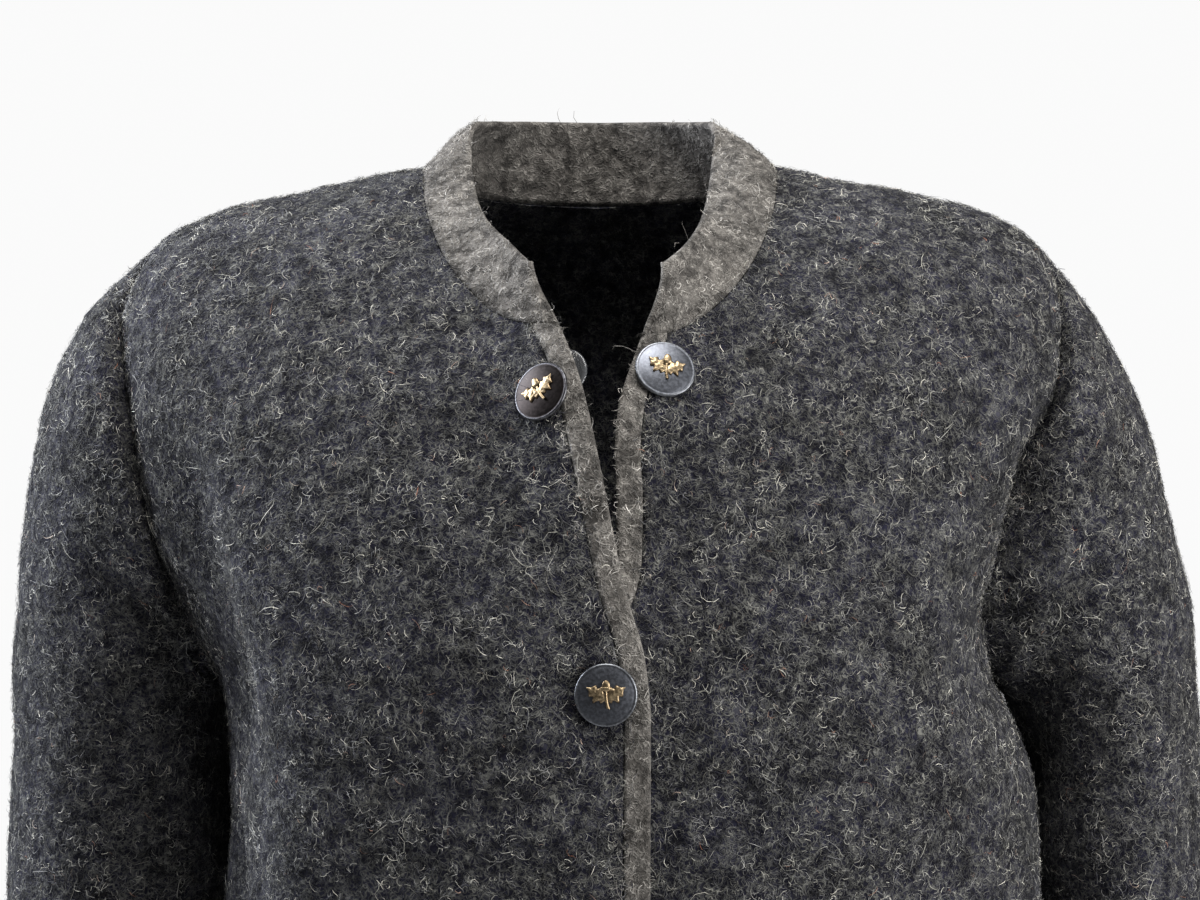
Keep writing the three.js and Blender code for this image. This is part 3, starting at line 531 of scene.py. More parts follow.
# ---- the collar's seam
def collar_top():
    """Top edge of the collar over each point of its seam."""
    right, left, y, z = COLLAR_TOP.values()
    half = len(y) - 1
    whole = np.concatenate([xyz(-right, y, z), xyz(left, y, z)[:half][::-1]])
    side_share = half / 2
    front = np.arange(FRONT_NECK_STEPS) / FRONT_NECK_STEPS * side_share
    back = np.linspace(side_share, 2 * half - side_share, BACK_NECK_STEPS + 1)
    return through(whole, np.concatenate([front, back, 2 * half - front[::-1]]))


def collar_normals(row, rise):
    along = np.gradient(row, axis=0)
    normal = unit(np.cross(along, rise))
    outward = (normal * (row * (1, 1, 0) + (0, 20, 0))).sum(axis=-1)
    return np.where(outward[:, None] < 0, -normal, normal)


def neck_seam():
    """The seam from the right front edge, round the back, to the left front edge, with the
    mitre in which the walls of the collar and the panels meet."""
    steps = np.arange(FRONT_NECK_STEPS + 1)
    inner = back_neck(np.arange(1, BACK_NECK_STEPS) / BACK_NECK_STEPS)
    right, left = front_neck("right", steps), front_neck("left", steps)[::-1]
    parts = [
        on_body(*right.T, "front", "right"),
        on_body(*inner.T, "back", "left"),
        on_body(*left.T, "front", "left"),
    ]
    points = np.concatenate([p for p, _ in parts])
    normals = np.concatenate([n for _, n in parts])
    rise = collar_top() - points
    mitre = unit(normals + collar_normals(points, rise))
    facing = np.maximum(0.75, (mitre * normals).sum(axis=-1, keepdims=True))
    return points, rise, mitre / facing


NECK_POINTS, NECK_RISE, NECK_MITRE = neck_seam()


# ---- meshes
def new_object(name, points, quads, triangles=None, uv=None):
    """An object from points in millimetres, with smooth faces and, when given, a UV map named
    OFBake.
    """
    triangles = np.zeros((0, 3), dtype=int) if triangles is None else triangles
    loops = np.concatenate([quads.ravel(), triangles.ravel()]).astype(np.int32)
    sizes = np.concatenate([np.full(len(quads), 4), np.full(len(triangles), 3)])
    mesh = bpy.data.meshes.new(name)
    mesh.vertices.add(len(points))
    mesh.vertices.foreach_set("co", (points * MM).astype(np.float32).ravel())
    mesh.loops.add(len(loops))
    mesh.loops.foreach_set("vertex_index", loops)
    mesh.polygons.add(len(sizes))
    mesh.polygons.foreach_set("loop_start", (np.cumsum(sizes) - sizes).astype(np.int32))
    if uv is not None:
        layer = mesh.uv_layers.new(name="OFBake")
        layer.data.foreach_set("uv", uv.astype(np.float32).ravel())
    mesh.update(calc_edges=True)
    mesh.validate()
    mesh.shade_smooth()
    made = bpy.data.objects.new(name, mesh)
    bpy.context.collection.objects.link(made)
    return made


def dress(piece, material, replaced=()):
    """Gives a piece its material and slot, attaches it to its body, and hides the parts that it
    replaces.
    """
    piece.data.materials.clear()
    piece.data.materials.append(material)
    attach(piece, BODY_NAME)
    if replaced:
        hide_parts(*replaced)
    return piece


def grid_quads(rows, cols, start=0, ring=False):
    c = np.arange(cols if ring else cols - 1)
    r = np.arange(rows - 1)[:, None]
    right = (c + 1) % cols
    a = start + r * cols
    b = a + cols
    quads = np.stack([a + c, a + right, b + right, b + c], axis=-1)
    return quads.reshape(-1, 4)


def perimeter(rows, cols):
    """Indices round a grid's border, each corner once."""
    index = np.arange(rows * cols).reshape(rows, cols)
    return np.concatenate([index[0, :-1], index[:-1, -1], index[-1, :0:-1], index[:0:-1, 0]])


EDGE_ANGLES = np.radians((45, 0, -45))
# Each border of a grid and the line next to it. A ring has only the first two.
BORDERS = (
    (np.s_[0], np.s_[1]),
    (np.s_[-1], np.s_[-2]),
    (np.s_[:, 0], np.s_[:, 1]),
    (np.s_[:, -1], np.s_[:, -2]),
)
RING_BORDERS = BORDERS[:2]


def wall(name, outer, inner, rounding, ring=False):
    """A closed wall between two grids, its edges rounded. rounding gives the radius at the
    first row, last row, first column and last column."""
    rows, cols = outer.shape[:2]
    pull = np.zeros((rows, cols, 3))
    middle = (outer + inner) / 2
    for (line, inside), radius in zip(RING_BORDERS if ring else BORDERS, rounding):
        pull[line] += unit(middle[line] - middle[inside]) * radius
    count = rows * cols
    half, pull = ((outer - inner) / 2).reshape(-1, 3), pull.reshape(-1, 3)
    edge = middle.reshape(-1, 3)
    points = [edge + half - pull, edge - half - pull]
    front = grid_quads(rows, cols, 0, ring)
    quads = [front, grid_quads(rows, cols, count, ring)[:, ::-1]]
    if ring:
        first = np.arange(cols)
        borders = [first, (first + (rows - 1) * cols)[::-1]]
    else:
        borders = [perimeter(rows, cols)]
    used = 2 * count
    for border in borders:
        loops = [border]
        for angle in EDGE_ANGLES:
            lean = math.cos(angle) - 1
            points.append(edge[border] + half[border] * math.sin(angle) + pull[border] * lean)
            loops.append(used + np.arange(len(border)))
            used += len(border)
        loops.append(border + count)
        for here, there in zip(loops, loops[1:]):
            ahead, beyond = np.roll(here, -1), np.roll(there, -1)
            quads.append(np.stack([ahead, here, there, beyond], axis=-1))
    points, quads = np.concatenate(points), np.concatenate(quads)
    a, b, c, d = (points[quads[:, k]] for k in range(4))
    if np.einsum("ij,ij->i", a + c, np.cross(b - a, d - a)).sum() < 0:
        quads = quads[:, ::-1]
    return new_object(name, points, quads, uv=wall_uv(quads, rows, cols))


def wall_uv(quads, rows, cols):
    """UVs of the OFBake map: outer face, inner face and edge strips side by side."""
    count = rows * cols
    layer = np.minimum(quads // count, 2)
    row, col = quads % count // cols, quads % cols
    wraps = (col.max(axis=1) - col.min(axis=1) > 1)[:, None] & (col == 0)
    col = np.where(wraps, cols, col)
    u = col / cols * 0.46 + np.where(layer == 1, 0.48, 0.0)
    v = row / rows * 0.98 + 0.01
    on_edge = (layer == 2).any(axis=1)[:, None]
    cell = np.arange(len(quads))[:, None]
    corner = np.arange(4)[None]
    side = max(1, math.ceil(math.sqrt(on_edge.sum() / 8)))
    strip_u = 0.95 + (cell % 8 + 0.1 + 0.8 * (corner % 3 > 0)) / 8 * 0.05
    strip_v = (cell // 8 % (side * side) + 0.1 + 0.8 * (corner > 1)) / (side * side)
    return np.stack([np.where(on_edge, strip_u, u), np.where(on_edge, strip_v, v)], axis=-1)


def draw_back(grid, borders=BORDERS):
    """Draws a grid's borders back by half the seam gap."""
    grid = grid.copy()
    for line, inside in borders:
        grid[line] += unit(grid[inside] - grid[line]) * SEAM_GAP / 2
    return grid


FREE_EDGE = 1.3  # radius of a cut edge
SEAM_EDGE = 0.3  # of an edge that is sewn to its neighbour
JOINED_EDGE = 0.12  # where the collar and the bands are felted to the cloth
MITRE_REACH = 12  # over which a wall turns into its mitre


def panel(grid, face, front, mitres, extra=0.0):
    """The outer grid, its normals and the inner grid of a body panel."""
    points, normals = on_body(grid[..., 0], grid[..., 1], face, front)
    top = np.where(np.isnan(mitres), normals[-1], mitres)
    reach = np.linalg.norm(points - points[-1], axis=-1, keepdims=True) / MITRE_REACH
    thick = mix(top, normals, smooth(reach))
    points = points + normals * unevenness(points)[..., None]
    outer = draw_back(points + thick * extra)
    inner = draw_back(points - thick * (CLOTH + extra))
    return outer, normals, inner


def free(count):
    return np.full((count, 3), np.nan)


def back_panel():
    middle = NECK_MITRE[FRONT_NECK_STEPS : FRONT_NECK_STEPS + BACK_NECK_STEPS + 1]
    mitres = np.concatenate([free(SHOULDER_STEPS), middle, free(SHOULDER_STEPS)])
    return panel(back_grid(), "back", "left", mitres)


def front_panel(side):
    seam = NECK_MITRE if side == "right" else NECK_MITRE[::-1]
    mitres = np.concatenate([seam[1 : FRONT_NECK_STEPS + 1], free(SHOULDER_STEPS)])
    return panel(front_grid(side), "front", side, mitres)


def band_panel(side):
    seam = NECK_MITRE if side == "right" else NECK_MITRE[::-1]
    mitres = mix(seam[1], seam[0], np.linspace(0, 1, BAND_STEPS + 1)[:, None])
    return panel(band_grid(side), "front", side, mitres, BAND_EXTRA)


def collar_panel():
    shares = np.arange(COLLAR_STEPS + 1) / COLLAR_STEPS
    points = NECK_POINTS + NECK_RISE * shares[:, None, None]
    normals = np.stack([collar_normals(row, NECK_RISE) for row in points])
    settle = smooth(shares * 4)[:, None, None]
    thick = mix(NECK_MITRE, normals, settle)
    bow = COLLAR_BOW * np.sin(math.pi * shares)[:, None] + unevenness(points) * settle[..., 0]
    points = points + normals * bow[..., None]
    outer, inner = (draw_back(grid, BORDERS[:1]) for grid in (points, points - thick * CLOTH))
    return outer, normals, inner


def sleeve_panel(side):
    sign = side_sign(side)
    rings = SLEEVES[side]
    around = 2 * ARMHOLE_STEPS
    k = np.arange(around)
    angle = 2 * math.pi * k / around
    at_front = k <= ARMHOLE_STEPS
    t = np.where(at_front, 1 - k / ARMHOLE_STEPS, k / ARMHOLE_STEPS - 1)
    roots, root_normals = np.zeros((around, 3)), np.zeros((around, 3))
    for face, here in (("front", at_front), ("back", ~at_front)):
        line = armhole(side, face, t[here])
        roots[here], root_normals[here] = on_body(*line.T, face, side)
    centre = xyz(
        sign * (rings["out_x"] + rings["under_x"]) / 2,
        -rings["forward"],
        (rings["out_z"] + rings["under_z"]) / 2,
    )
    reach = xyz(
        sign * (rings["out_x"] - rings["under_x"]) / 2,
        0,
        (rings["out_z"] - rings["under_z"]) / 2,
    )
    depth = rings["depth"][:, None, None] * np.sin(angle)[None, :, None] * (0, -1, 0)
    lines = centre[:, None] + reach[:, None] * np.cos(angle)[None, :, None] + depth
    lines = np.concatenate([roots[None], lines])
    count = len(rings["depth"])
    at = np.linspace(0, count, count * SLEEVE_STEPS_PER_RING + 1)
    points = through(lines, at)
    across = np.roll(points, -1, axis=1) - np.roll(points, 1, axis=1)
    normals = unit(np.cross(across, np.gradient(points, axis=0)))
    heart = points.mean(axis=1, keepdims=True)
    inwards = ((points - heart) * normals).sum(axis=-1, keepdims=True) < 0
    normals = np.where(inwards, -normals, normals)
    settle = smooth(at)[:, None]
    thick = mix(root_normals, normals, settle[..., None])
    rise = sleeve_fold_rise(at[:, None], np.degrees(angle)[None]) + unevenness(points)
    points = points + normals * (rise * settle)[..., None]
    outer, inner = (draw_back(grid, RING_BORDERS) for grid in (points, points - thick * CLOTH))
    return outer, normals, inner


def sleeve_fold_rise(ring, degrees):
    rise = 0
    for at, turn, twist, along, spread, height in zip(*SLEEVE_FOLDS.values()):
        off = ring - at
        turned = (degrees - turn - twist * off + 180) % 360 - 180
        rise = rise + height * np.exp(-((off / along) ** 2) - (turned / spread) ** 2)
    return rise


# ---- node helpers
class Nodes:
    """Builds the nodes of a material or world: every call adds one and gives its output."""

    def __init__(self, owner, shader="Principled BSDF"):
        self.owner = owner
        owner.use_nodes = True
        self.tree = owner.node_tree
        self.shader = self.tree.nodes[shader]

    def add(self, kind, settings=None, **inputs):
        node = self.tree.nodes.new(kind)
        for key, value in (settings or {}).items():
            setattr(node, key, value)
        for key, value in inputs.items():
            self.put(node.inputs[key.replace("_", " ")], value)
        return node

    def put(self, socket, value):
        if isinstance(value, bpy.types.NodeSocket):
            self.tree.links.new(value, socket)
        else:
            socket.default_value = value

    def place(self):
        return self.add("ShaderNodeTexCoord").outputs["Object"]

    def noise(self, where, scale, detail=2.0, roughness=0.5, distortion=0.0):
        node = self.add(
            "ShaderNodeTexNoise",
            Vector=where,
            Scale=scale,
            Detail=detail,
            Roughness=roughness,
            Distortion=distortion,
        )
        return node.outputs["Fac"]

    def math(self, operation, a, b=0.0, c=0.0):
        node = self.add("ShaderNodeMath", {"operation": operation})
        for socket, value in zip(node.inputs, (a, b, c)):
            self.put(socket, value)
        return node.outputs[0]

    def shift(self, where, by):
        node = self.add("ShaderNodeVectorMath", {"operation": "ADD"})
        self.put(node.inputs[0], where)
        self.put(node.inputs[1], by)
        return node.outputs[0]

    def fall(self, value, low, high, to_low=0.0, to_high=1.0):
        """Maps low..high to to_low..to_high, smoothly and clamped."""
        node = self.add("ShaderNodeMapRange", {"interpolation_type": "SMOOTHSTEP"})
        for socket, number in zip(node.inputs, (value, low, high, to_low, to_high)):
            self.put(socket, number)
        return node.outputs[0]

    def blend(self, a, b, share, mode="MIX"):
        node = self.add("ShaderNodeMix", {"data_type": "RGBA", "blend_type": mode})
        for key, value in (("Factor_Float", share), ("A_Color", a), ("B_Color", b)):
            self.put(next(s for s in node.inputs if s.identifier == key), value)
        return next(s for s in node.outputs if s.identifier == "Result_Color")

    def ramp(self, share, *stops):
        node = self.add("ShaderNodeValToRGB", Fac=share)
        marks = node.color_ramp.elements
        while len(marks) < len(stops):
            marks.new(0.5)
        for mark, (position, colour) in zip(marks, stops):
            mark.position = position
            mark.color = (*colour, 1)
        return node.outputs["Color"]

    def set(self, **values):
        for key, value in values.items():
            self.put(self.shader.inputs[key.replace("_", " ")], value)
        return self.owner


# ---- materials
# Curly fibres drawn into the cloth: scale, half width of a fibre's line, and strength.
CURLS = ((560, 0.075, 0.45), (390, 0.055, 0.7), (260, 0.036, 1.0))


def curl_lines(n, where):
    """Thin closed lines of warped noise, like curled fibres, from 0 to 1."""
    total = None
    for k, (scale, width, strength) in enumerate(CURLS):
        level = n.noise(n.shift(where, (0.31 * k, 0.17, 0.07 * k)), scale, 1.0, 0.4)
        off = n.math("ABSOLUTE", n.math("SUBTRACT", level, 0.5))
        line = n.fall(off, 0.0, width, strength, 0.0)
        total = line if total is None else n.math("MAXIMUM", total, line)
    return total


def wool(name, dark, middle, light, curl, mottle=0.5):
    """Boiled wool: clumps of heather colour with curled fibres, and the same in relief."""
    n = Nodes(bpy.data.materials.new(name))
    where = n.place()
    warp = n.add("ShaderNodeTexNoise", Vector=where, Scale=420.0, Detail=0.0).outputs["Color"]
    bent = n.add("ShaderNodeVectorMath", {"operation": "MULTIPLY_ADD"})
    for socket, value in zip(bent.inputs, (warp, (0.0022,) * 3, where)):
        n.put(socket, value)
    bent = bent.outputs[0]
    patches = n.noise(where, 42, 3, 0.6)
    clumps = n.noise(bent, 190, 2, 0.6)
    base = n.ramp(clumps, (0.34, dark), (0.52, middle), (0.70, light))
    depth = n.fall(patches, 0.3, 0.7, 1 - mottle, 1 + mottle)
    base = n.blend(base, depth, 1.0, "MULTIPLY")
    lines = curl_lines(n, bent)
    share = n.math("MULTIPLY", lines, n.fall(clumps, 0.32, 0.62, 0.12, 0.95))
    colour = n.blend(base, (*curl, 1), share)
    relief = n.math("MULTIPLY_ADD", lines, 0.5, clumps)
    bump = n.add("ShaderNodeBump", Strength=1.0, Distance=0.0016, Height=relief)
    return n.set(
        Base_Color=colour,
        Roughness=0.95,
        Sheen_Weight=0.05,
        Sheen_Roughness=0.6,
        Specular_IOR_Level=0.1,
        Normal=bump.outputs["Normal"],
    )


def fibre(name, *stops):
    """Single fibres: each takes its own colour, darker and lighter in large patches."""
    n = Nodes(bpy.data.materials.new(name))
    own = n.add("ShaderNodeNewGeometry").outputs["Random Per Island"]
    colour = n.ramp(own, *stops)
    patches = n.noise(n.place(), 95, 3, 0.6)
    depth = n.fall(patches, 0.32, 0.68, 0.3, 1.85)
    colour = n.blend(colour, depth, 1.0, "MULTIPLY")
    return n.set(Base_Color=colour, Roughness=0.75, Specular_IOR_Level=0.25)


def metal(name, face, worn_and_highlight, roughness):
    """Plated metal: darker face, lighter where its attribute says so: real wear on the badges, and
    a painted highlight on the button rims.
    """
    n = Nodes(bpy.data.materials.new(name))
    where = n.place()
    grime = n.noise(where, 900, 4, 0.65)
    brushed = n.noise(where, 3200, 2, 0.6)
    # The attribute holds real wear on the badges' raised parts, and a painted highlight on the
    # buttons' rolled rims.
    wear_and_highlight = n.add("ShaderNodeAttribute", {"attribute_name": "wear_and_highlight"}).outputs["Fac"]
    share = n.math("MULTIPLY", wear_and_highlight, n.fall(grime, 0.3, 0.6, 0.55, 1.0))
    colour = n.blend((*face, 1), (*worn_and_highlight, 1), share)
    colour = n.blend(colour, n.fall(grime, 0.35, 0.7, 0.7, 1.15), 1.0, "MULTIPLY")
    rough = n.math("MULTIPLY_ADD", grime, 0.25, roughness - 0.12)
    bump = n.add("ShaderNodeBump", Strength=0.25, Distance=0.00008, Height=brushed)
    return n.set(
        Base_Color=colour,
        Metallic=1.0,
        Roughness=rough,
        Normal=bump.outputs["Normal"],
    )


def clear_plastic():
    n = Nodes(bpy.data.materials.new("clear_plastic"))
    cloud = n.noise(n.place(), 300, 3)
    colour = n.ramp(cloud, (0.3, (0.10, 0.105, 0.11)), (0.7, (0.17, 0.175, 0.185)))
    return n.set(Base_Color=colour, Roughness=0.18, Transmission_Weight=0.55, IOR=1.49)


def floor_paint():
    n = Nodes(bpy.data.materials.new("floor_paint"))
    cloud = n.noise(n.place(), 1.5, 3)
    colour = n.ramp(cloud, (0.3, (0.80, 0.80, 0.79)), (0.7, (0.83, 0.83, 0.825)))
    return n.set(Base_Color=colour, Roughness=0.9, Specular_IOR_Level=0.2)


WOOL = wool(
    "wool",
    dark=(0.003, 0.003, 0.008),
    middle=(0.011, 0.011, 0.021),
    light=(0.040, 0.040, 0.049),
    curl=(0.20, 0.20, 0.18),
)
TRIM = wool(
    "trim_wool",
    dark=(0.052, 0.048, 0.044),
    middle=(0.12, 0.111, 0.101),
    light=(0.205, 0.192, 0.174),
    curl=(0.36, 0.34, 0.31),
    mottle=0.3,
)
WOOL_FIBRE = fibre(
    "wool_fibre",
    (0.0, (0.014, 0.014, 0.021)),
    (0.33, (0.056, 0.056, 0.066)),
    (0.66, (0.187, 0.186, 0.18)),
    (0.92, (0.38, 0.372, 0.325)),
    (0.988, (0.50, 0.48, 0.42)),
    (0.998, (0.22, 0.09, 0.05)),
)
TRIM_FIBRE = fibre(
    "trim_fibre",
    (0.0, (0.07, 0.066, 0.06)),
    (0.4, (0.18, 0.168, 0.152)),
    (0.8, (0.34, 0.322, 0.295)),
    (1.0, (0.50, 0.48, 0.445)),
)
# The lighter colour of each metal: a painted highlight on the button rims, and wear on the raised
# parts of the brass badges.
GUNMETAL = metal("gunmetal", (0.15, 0.158, 0.18), (0.25, 0.26, 0.28), 0.40)
DARK_METAL = metal("dark_metal", (0.022, 0.018, 0.017), (0.13, 0.13, 0.14), 0.36)
BRASS = metal("brass", (0.16, 0.105, 0.06), (0.50, 0.385, 0.235), 0.4)
CLEAR = clear_plastic()

# ---- nap
FIBRE_STEPS = 4
# The least and the most of each measure of a fibre, in millimetres and radians. Curl is how
# far it turns from root to tip, sway how far it wavers on the way, lift the height of its
# arch, stand the height of its tip where it stands, and twist its turn about its own line.
FIBRE = {
    "length": (2.6, 7.0),
    "width": (0.15, 0.31),
    "curl": (0.9, 5.4),
    "sway": (-1.0, 1.0),
    "lift": (0.2, 1.1),
    "stand": (0.5, 2.0),
    "twist": (-0.8, 0.8),
}
LONG_SHARE, LONG_FACTOR = 0.06, 2.2  # the few fibres that are much longer
STANDING_SHARE = 0.28  # of the fibres whose tip stands free
DENSE = 0.62  # fibres per square millimetre where the view is close, before thinning out
SPARSE = 0.03  # elsewhere
FADE = 60  # millimetres over which one becomes the other, below the view
GATHERED = 0.92  # share of the fibres that keep to clumps


def density(points, normals, dense, sparse):
    """Fibres per square millimetre: dense where the camera looks from near by."""
    facing = smooth((0.35 - normals[..., 1]) / 0.5)
    height = smooth((points[..., 2] - (FRAME_BOTTOM - FADE)) / FADE)
    return mix(sparse, dense, facing * height)


def scatter(rng, panels, dense, sparse):
    """Random places on the outer faces of panels, with their normals."""
    places, upright = [], []
    for outer, normals, ring in panels:
        if ring:
            outer = np.concatenate([outer, outer[:, :1]], axis=1)
            normals = np.concatenate([normals, normals[:, :1]], axis=1)
        a, b = outer[:-1, :-1], outer[:-1, 1:]
        c, d = outer[1:, 1:], outer[1:, :-1]
        area = np.linalg.norm(np.cross(c - a, d - b), axis=-1) / 2
        weight = (area * density((a + c) / 2, normals[:-1, :-1], dense, sparse)).ravel()
        count = rng.poisson(weight)
        cell = np.repeat(np.arange(len(weight)), count)
        r, c = np.divmod(cell, outer.shape[1] - 1)
        u, v = rng.uniform(size=(2, len(cell), 1))
        for grid, found in ((outer, places), (normals, upright)):
            low = mix(grid[r, c], grid[r, c + 1], u)
            high = mix(grid[r + 1, c], grid[r + 1, c + 1], u)
            found.append(mix(low, high, v))
    places, upright = np.concatenate(places), unit(np.concatenate(upright))
    clump = smooth((ripple(places, CLUMP_WAVES) + 0.8) / 1.8)
    kept = rng.uniform(size=len(places)) < mix(1, clump, GATHERED)
    return places[kept], upright[kept]


def nap(name, seed, panels, material, slot, dense=DENSE, sparse=SPARSE, long=1.0):
    """Curled fibres standing on the cloth, each a thin tapering ribbon."""
    rng = np.random.default_rng(seed)
    root, up = scatter(rng, panels, dense, sparse)
    count = len(root)

    def draw(low, high):
        return rng.uniform(low, high, (count, 1))

    length = draw(*FIBRE["length"]) * long * np.where(draw(0, 1) < LONG_SHARE, LONG_FACTOR, 1.0)
    width = draw(*FIBRE["width"])
    heading = draw(0, 2 * math.pi)
    curl = draw(*FIBRE["curl"]) * np.where(draw(0, 1) < 0.5, -1, 1)
    sway = draw(*FIBRE["sway"])
    lift = draw(*FIBRE["lift"])
    stands = draw(0, 1) < STANDING_SHARE
    stand = draw(*FIBRE["stand"])
    twist = draw(*FIBRE["twist"])

    first = unit(np.cross(up, np.array((0.03, 0.02, 1.0))))
    second = np.cross(up, first)
    share = np.linspace(0, 1, FIBRE_STEPS + 1)
    place = root - up * 0.15
    stations, sides = [], []
    for k, s in enumerate(share):
        angle = heading + curl * s + sway * math.sin(2 * math.pi * s)
        ahead = first * np.cos(angle) + second * np.sin(angle)
        if k:
            place = place + ahead * length / FIBRE_STEPS
        height = np.where(stands, stand * s**1.3, lift * math.sin(math.pi * s**0.8))
        stations.append(place + up * height)
        across = np.cross(up, ahead) * np.cos(twist) + up * np.sin(twist)
        sides.append(across * width / 2 * (1 - 0.55 * s))
    rows = []
    for middle, side in list(zip(stations, sides))[:-1]:
        rows += [middle - side, middle + side]
    rows.append(stations[-1])
    points = np.stack(rows, axis=1)
    per_fibre = points.shape[1]
    start = (np.arange(count) * per_fibre)[:, None, None]
    k = 2 * np.arange(FIBRE_STEPS - 1)[:, None]
    quads = start + (k + np.array([[0, 1, 3, 2]]))[None]
    tip = start[:, :, 0] + np.array([[per_fibre - 3, per_fibre - 2, per_fibre - 1]])

    cells = math.ceil(math.sqrt(count))
    number = np.arange(count)[:, None]
    corner = np.stack([number % cells, number // cells], axis=-1) / cells
    across = np.array([0.3, 0.7] * FIBRE_STEPS + [0.5])
    along = np.append(np.repeat(share[:-1], 2), 1) * 0.8 + 0.1
    flat = (corner + np.stack([across, along], axis=-1)[None] / cells).reshape(-1, 2)
    loops = np.concatenate([quads.ravel(), tip.ravel()])
    piece = new_object(name, points.reshape(-1, 3), quads.reshape(-1, 4), tip, flat[loops])
    return dress(piece, material)


# ---- buttons
def lathe(profile, segments):
    """Points and quads of a profile of (radius, height) turned about +Z."""
    turn = np.linspace(0, 2 * math.pi, segments, endpoint=False)
    r, h = np.array(profile, dtype=float).T
    points = xyz(r[:, None] * np.cos(turn), r[:, None] * np.sin(turn), h[:, None])
    return points.reshape(-1, 3), grid_quads(len(profile), segments, ring=True)


def arc(centre, radii, angles):
    """Profile points on an ellipse. Its outermost point is at angle 0 and its top at 90 degrees."""
    (r, h), (wide, high) = centre, radii
    return [(r + wide * math.cos(a), h + high * math.sin(a)) for a in angles]


# Stores what makes the metal lighter: the badges' wear, and the buttons' painted rim highlight.
def add_wear_and_highlight(piece, wear_and_highlight):
    attribute = piece.data.attributes.new("wear_and_highlight", "FLOAT", "POINT")
    attribute.data.foreach_set("value", np.asarray(wear_and_highlight, dtype=np.float32))


def seat(side, z, from_edge=LAP, turned=0.0, tipped=0.0):
    """Where a button sits on a front: its place and the cloth's own normal there."""
    x = front_edge(side, z) + side_sign(side) * from_edge
    reach = 0.7 * BUTTON_RADIUS

    def at(dx, dz):
        return on_body(x + dx, z + dz, "front", side)[0]

    axis = unit(np.cross(at(reach, 0) - at(-reach, 0), at(0, reach) - at(0, -reach)))
    tip = Matrix.Rotation(math.radians(-tipped), 3, "X")
    turn = Matrix.Rotation(math.radians(-turned), 3, "Z")
    return at(0, 0), np.array(tip @ turn @ Vector(axis))


def standing(points, place, axis):
    """Turns points from +Z to an axis and moves them to a place."""
    turn = np.array(Vector((0, 0, 1)).rotation_difference(Vector(axis)).to_matrix())
    return points @ turn.T + place


BUTTON_SEGMENTS = 72
AXIS_HOLE = 0.01  # radius of the pin hole that a lathe leaves, closed by close_ends
ROLL_RADIUS = 0.75  # of a button's rolled edge


def button_profile(shank):
    """Section of a button: shank, flat back, rolled edge, and a face with a gentle dome."""
    rim = BUTTON_RADIUS
    rolled = np.radians(np.linspace(-85, 62, 10))
    roll = arc((rim - ROLL_RADIUS, 0.95), (ROLL_RADIUS, ROLL_RADIUS), rolled)
    lip = [(rim - ROLL_RADIUS, 1.66), (rim - 1.0, 1.62), (rim - 1.25, 1.64)]
    inner = rim - 1.5
    face = [(inner * c, 1.72 + 1.0 * (1 - c**2.2)) for c in np.linspace(1, 0, 14)]
    post = [(AXIS_HOLE, -shank), (1.3, -shank), (1.5, -shank + 0.2), (1.5, -0.1), (1.8, 0.1)]
    return [*post, (rim - 1.3, 0.15), *roll, *lip, *face[:-1], (AXIS_HOLE, face[-1][1])]


def button(name, place, axis, shank, plating):
    profile = button_profile(shank)
    points, quads = lathe(profile, BUTTON_SEGMENTS)
    radius = np.hypot(points[:, 0], points[:, 1])
    # A painted highlight: the rolled rim and lip of the button are set lighter in colour.
    painted_rim_highlight = smooth((radius - (BUTTON_RADIUS - 1.1)) / 0.7) * (points[:, 2] > 0.8)
    piece = new_object(f"{name}_metal", standing(points, place, axis), quads)
    add_wear_and_highlight(piece, painted_rim_highlight)
    close_ends(piece)
    return dress(piece, plating, [name])


def close_ends(piece):
    """Closes the pin holes of a lathe by merging the points round its axis."""
    work = bmesh.new()
    work.from_mesh(piece.data)
    bmesh.ops.remove_doubles(work, verts=work.verts, dist=0.03 * MM)
    bmesh.ops.recalc_face_normals(work, faces=work.faces)
    work.to_mesh(piece.data)
    work.free()


BADGE_BASE = 2.75
LEAF = {"length": 8.6, "width": 7.2, "lobes": 3, "thickness": 0.55}
LEAF_STEPS = (26, 10)
STEM_STEPS = (17, 10)
STEM_LINE = [(0.9, -4.9, 0.25), (0.45, -3.4, 0.3), (0.1, -1.6, 0.35), (0, 0.4, 0.35), (0, 1.7, 0.4)]


def leaf(turn, x, y):
    """A lobed leaf with a rib and side veins, flat below, from its foot outwards."""
    long, wide = LEAF_STEPS
    t = np.linspace(0, 1, long + 1)[:, None]
    s = np.linspace(-1, 1, wide + 1)[None]
    lobed = 0.80 + 0.24 * np.cos(2 * math.pi * (LEAF["lobes"] + 0.3) * t - 2.6)
    half = LEAF["width"] / 2 * np.sin(math.pi * np.clip(t, 0.02, 0.985) ** 0.8) * lobed
    vein = 0.09 * np.cos(2 * math.pi * (5 * t - 1.3 * np.abs(s)))
    rib = 0.16 * np.exp(-((s / 0.16) ** 2))
    crown = LEAF["thickness"] * (1 - s**4) + vein * (1 - s * s) + rib
    ends = np.sin(math.pi * np.clip(t, 0.04, 0.96)) ** 0.3
    top = xyz(LEAF["length"] * t, half * s, BADGE_BASE + crown * ends)
    low = xyz(LEAF["length"] * t, half * s, BADGE_BASE)
    count = top.shape[0] * top.shape[1]
    points = np.concatenate([top.reshape(-1, 3), low.reshape(-1, 3)])
    border = perimeter(long + 1, wide + 1)
    ahead = np.roll(border, -1)
    rim = np.stack([ahead, border, border + count, ahead + count], axis=-1)
    faces = grid_quads(long + 1, wide + 1)
    quads = np.concatenate([faces, faces[:, ::-1] + count, rim])
    wear_and_highlight = np.concatenate([(crown - vein * 2).ravel() / LEAF["thickness"], np.zeros(count)])
    spin = np.array(Matrix.Rotation(math.radians(turn), 3, "Z"))
    return points @ spin.T + (x, y, 0), quads, np.clip(wear_and_highlight, 0, 1)


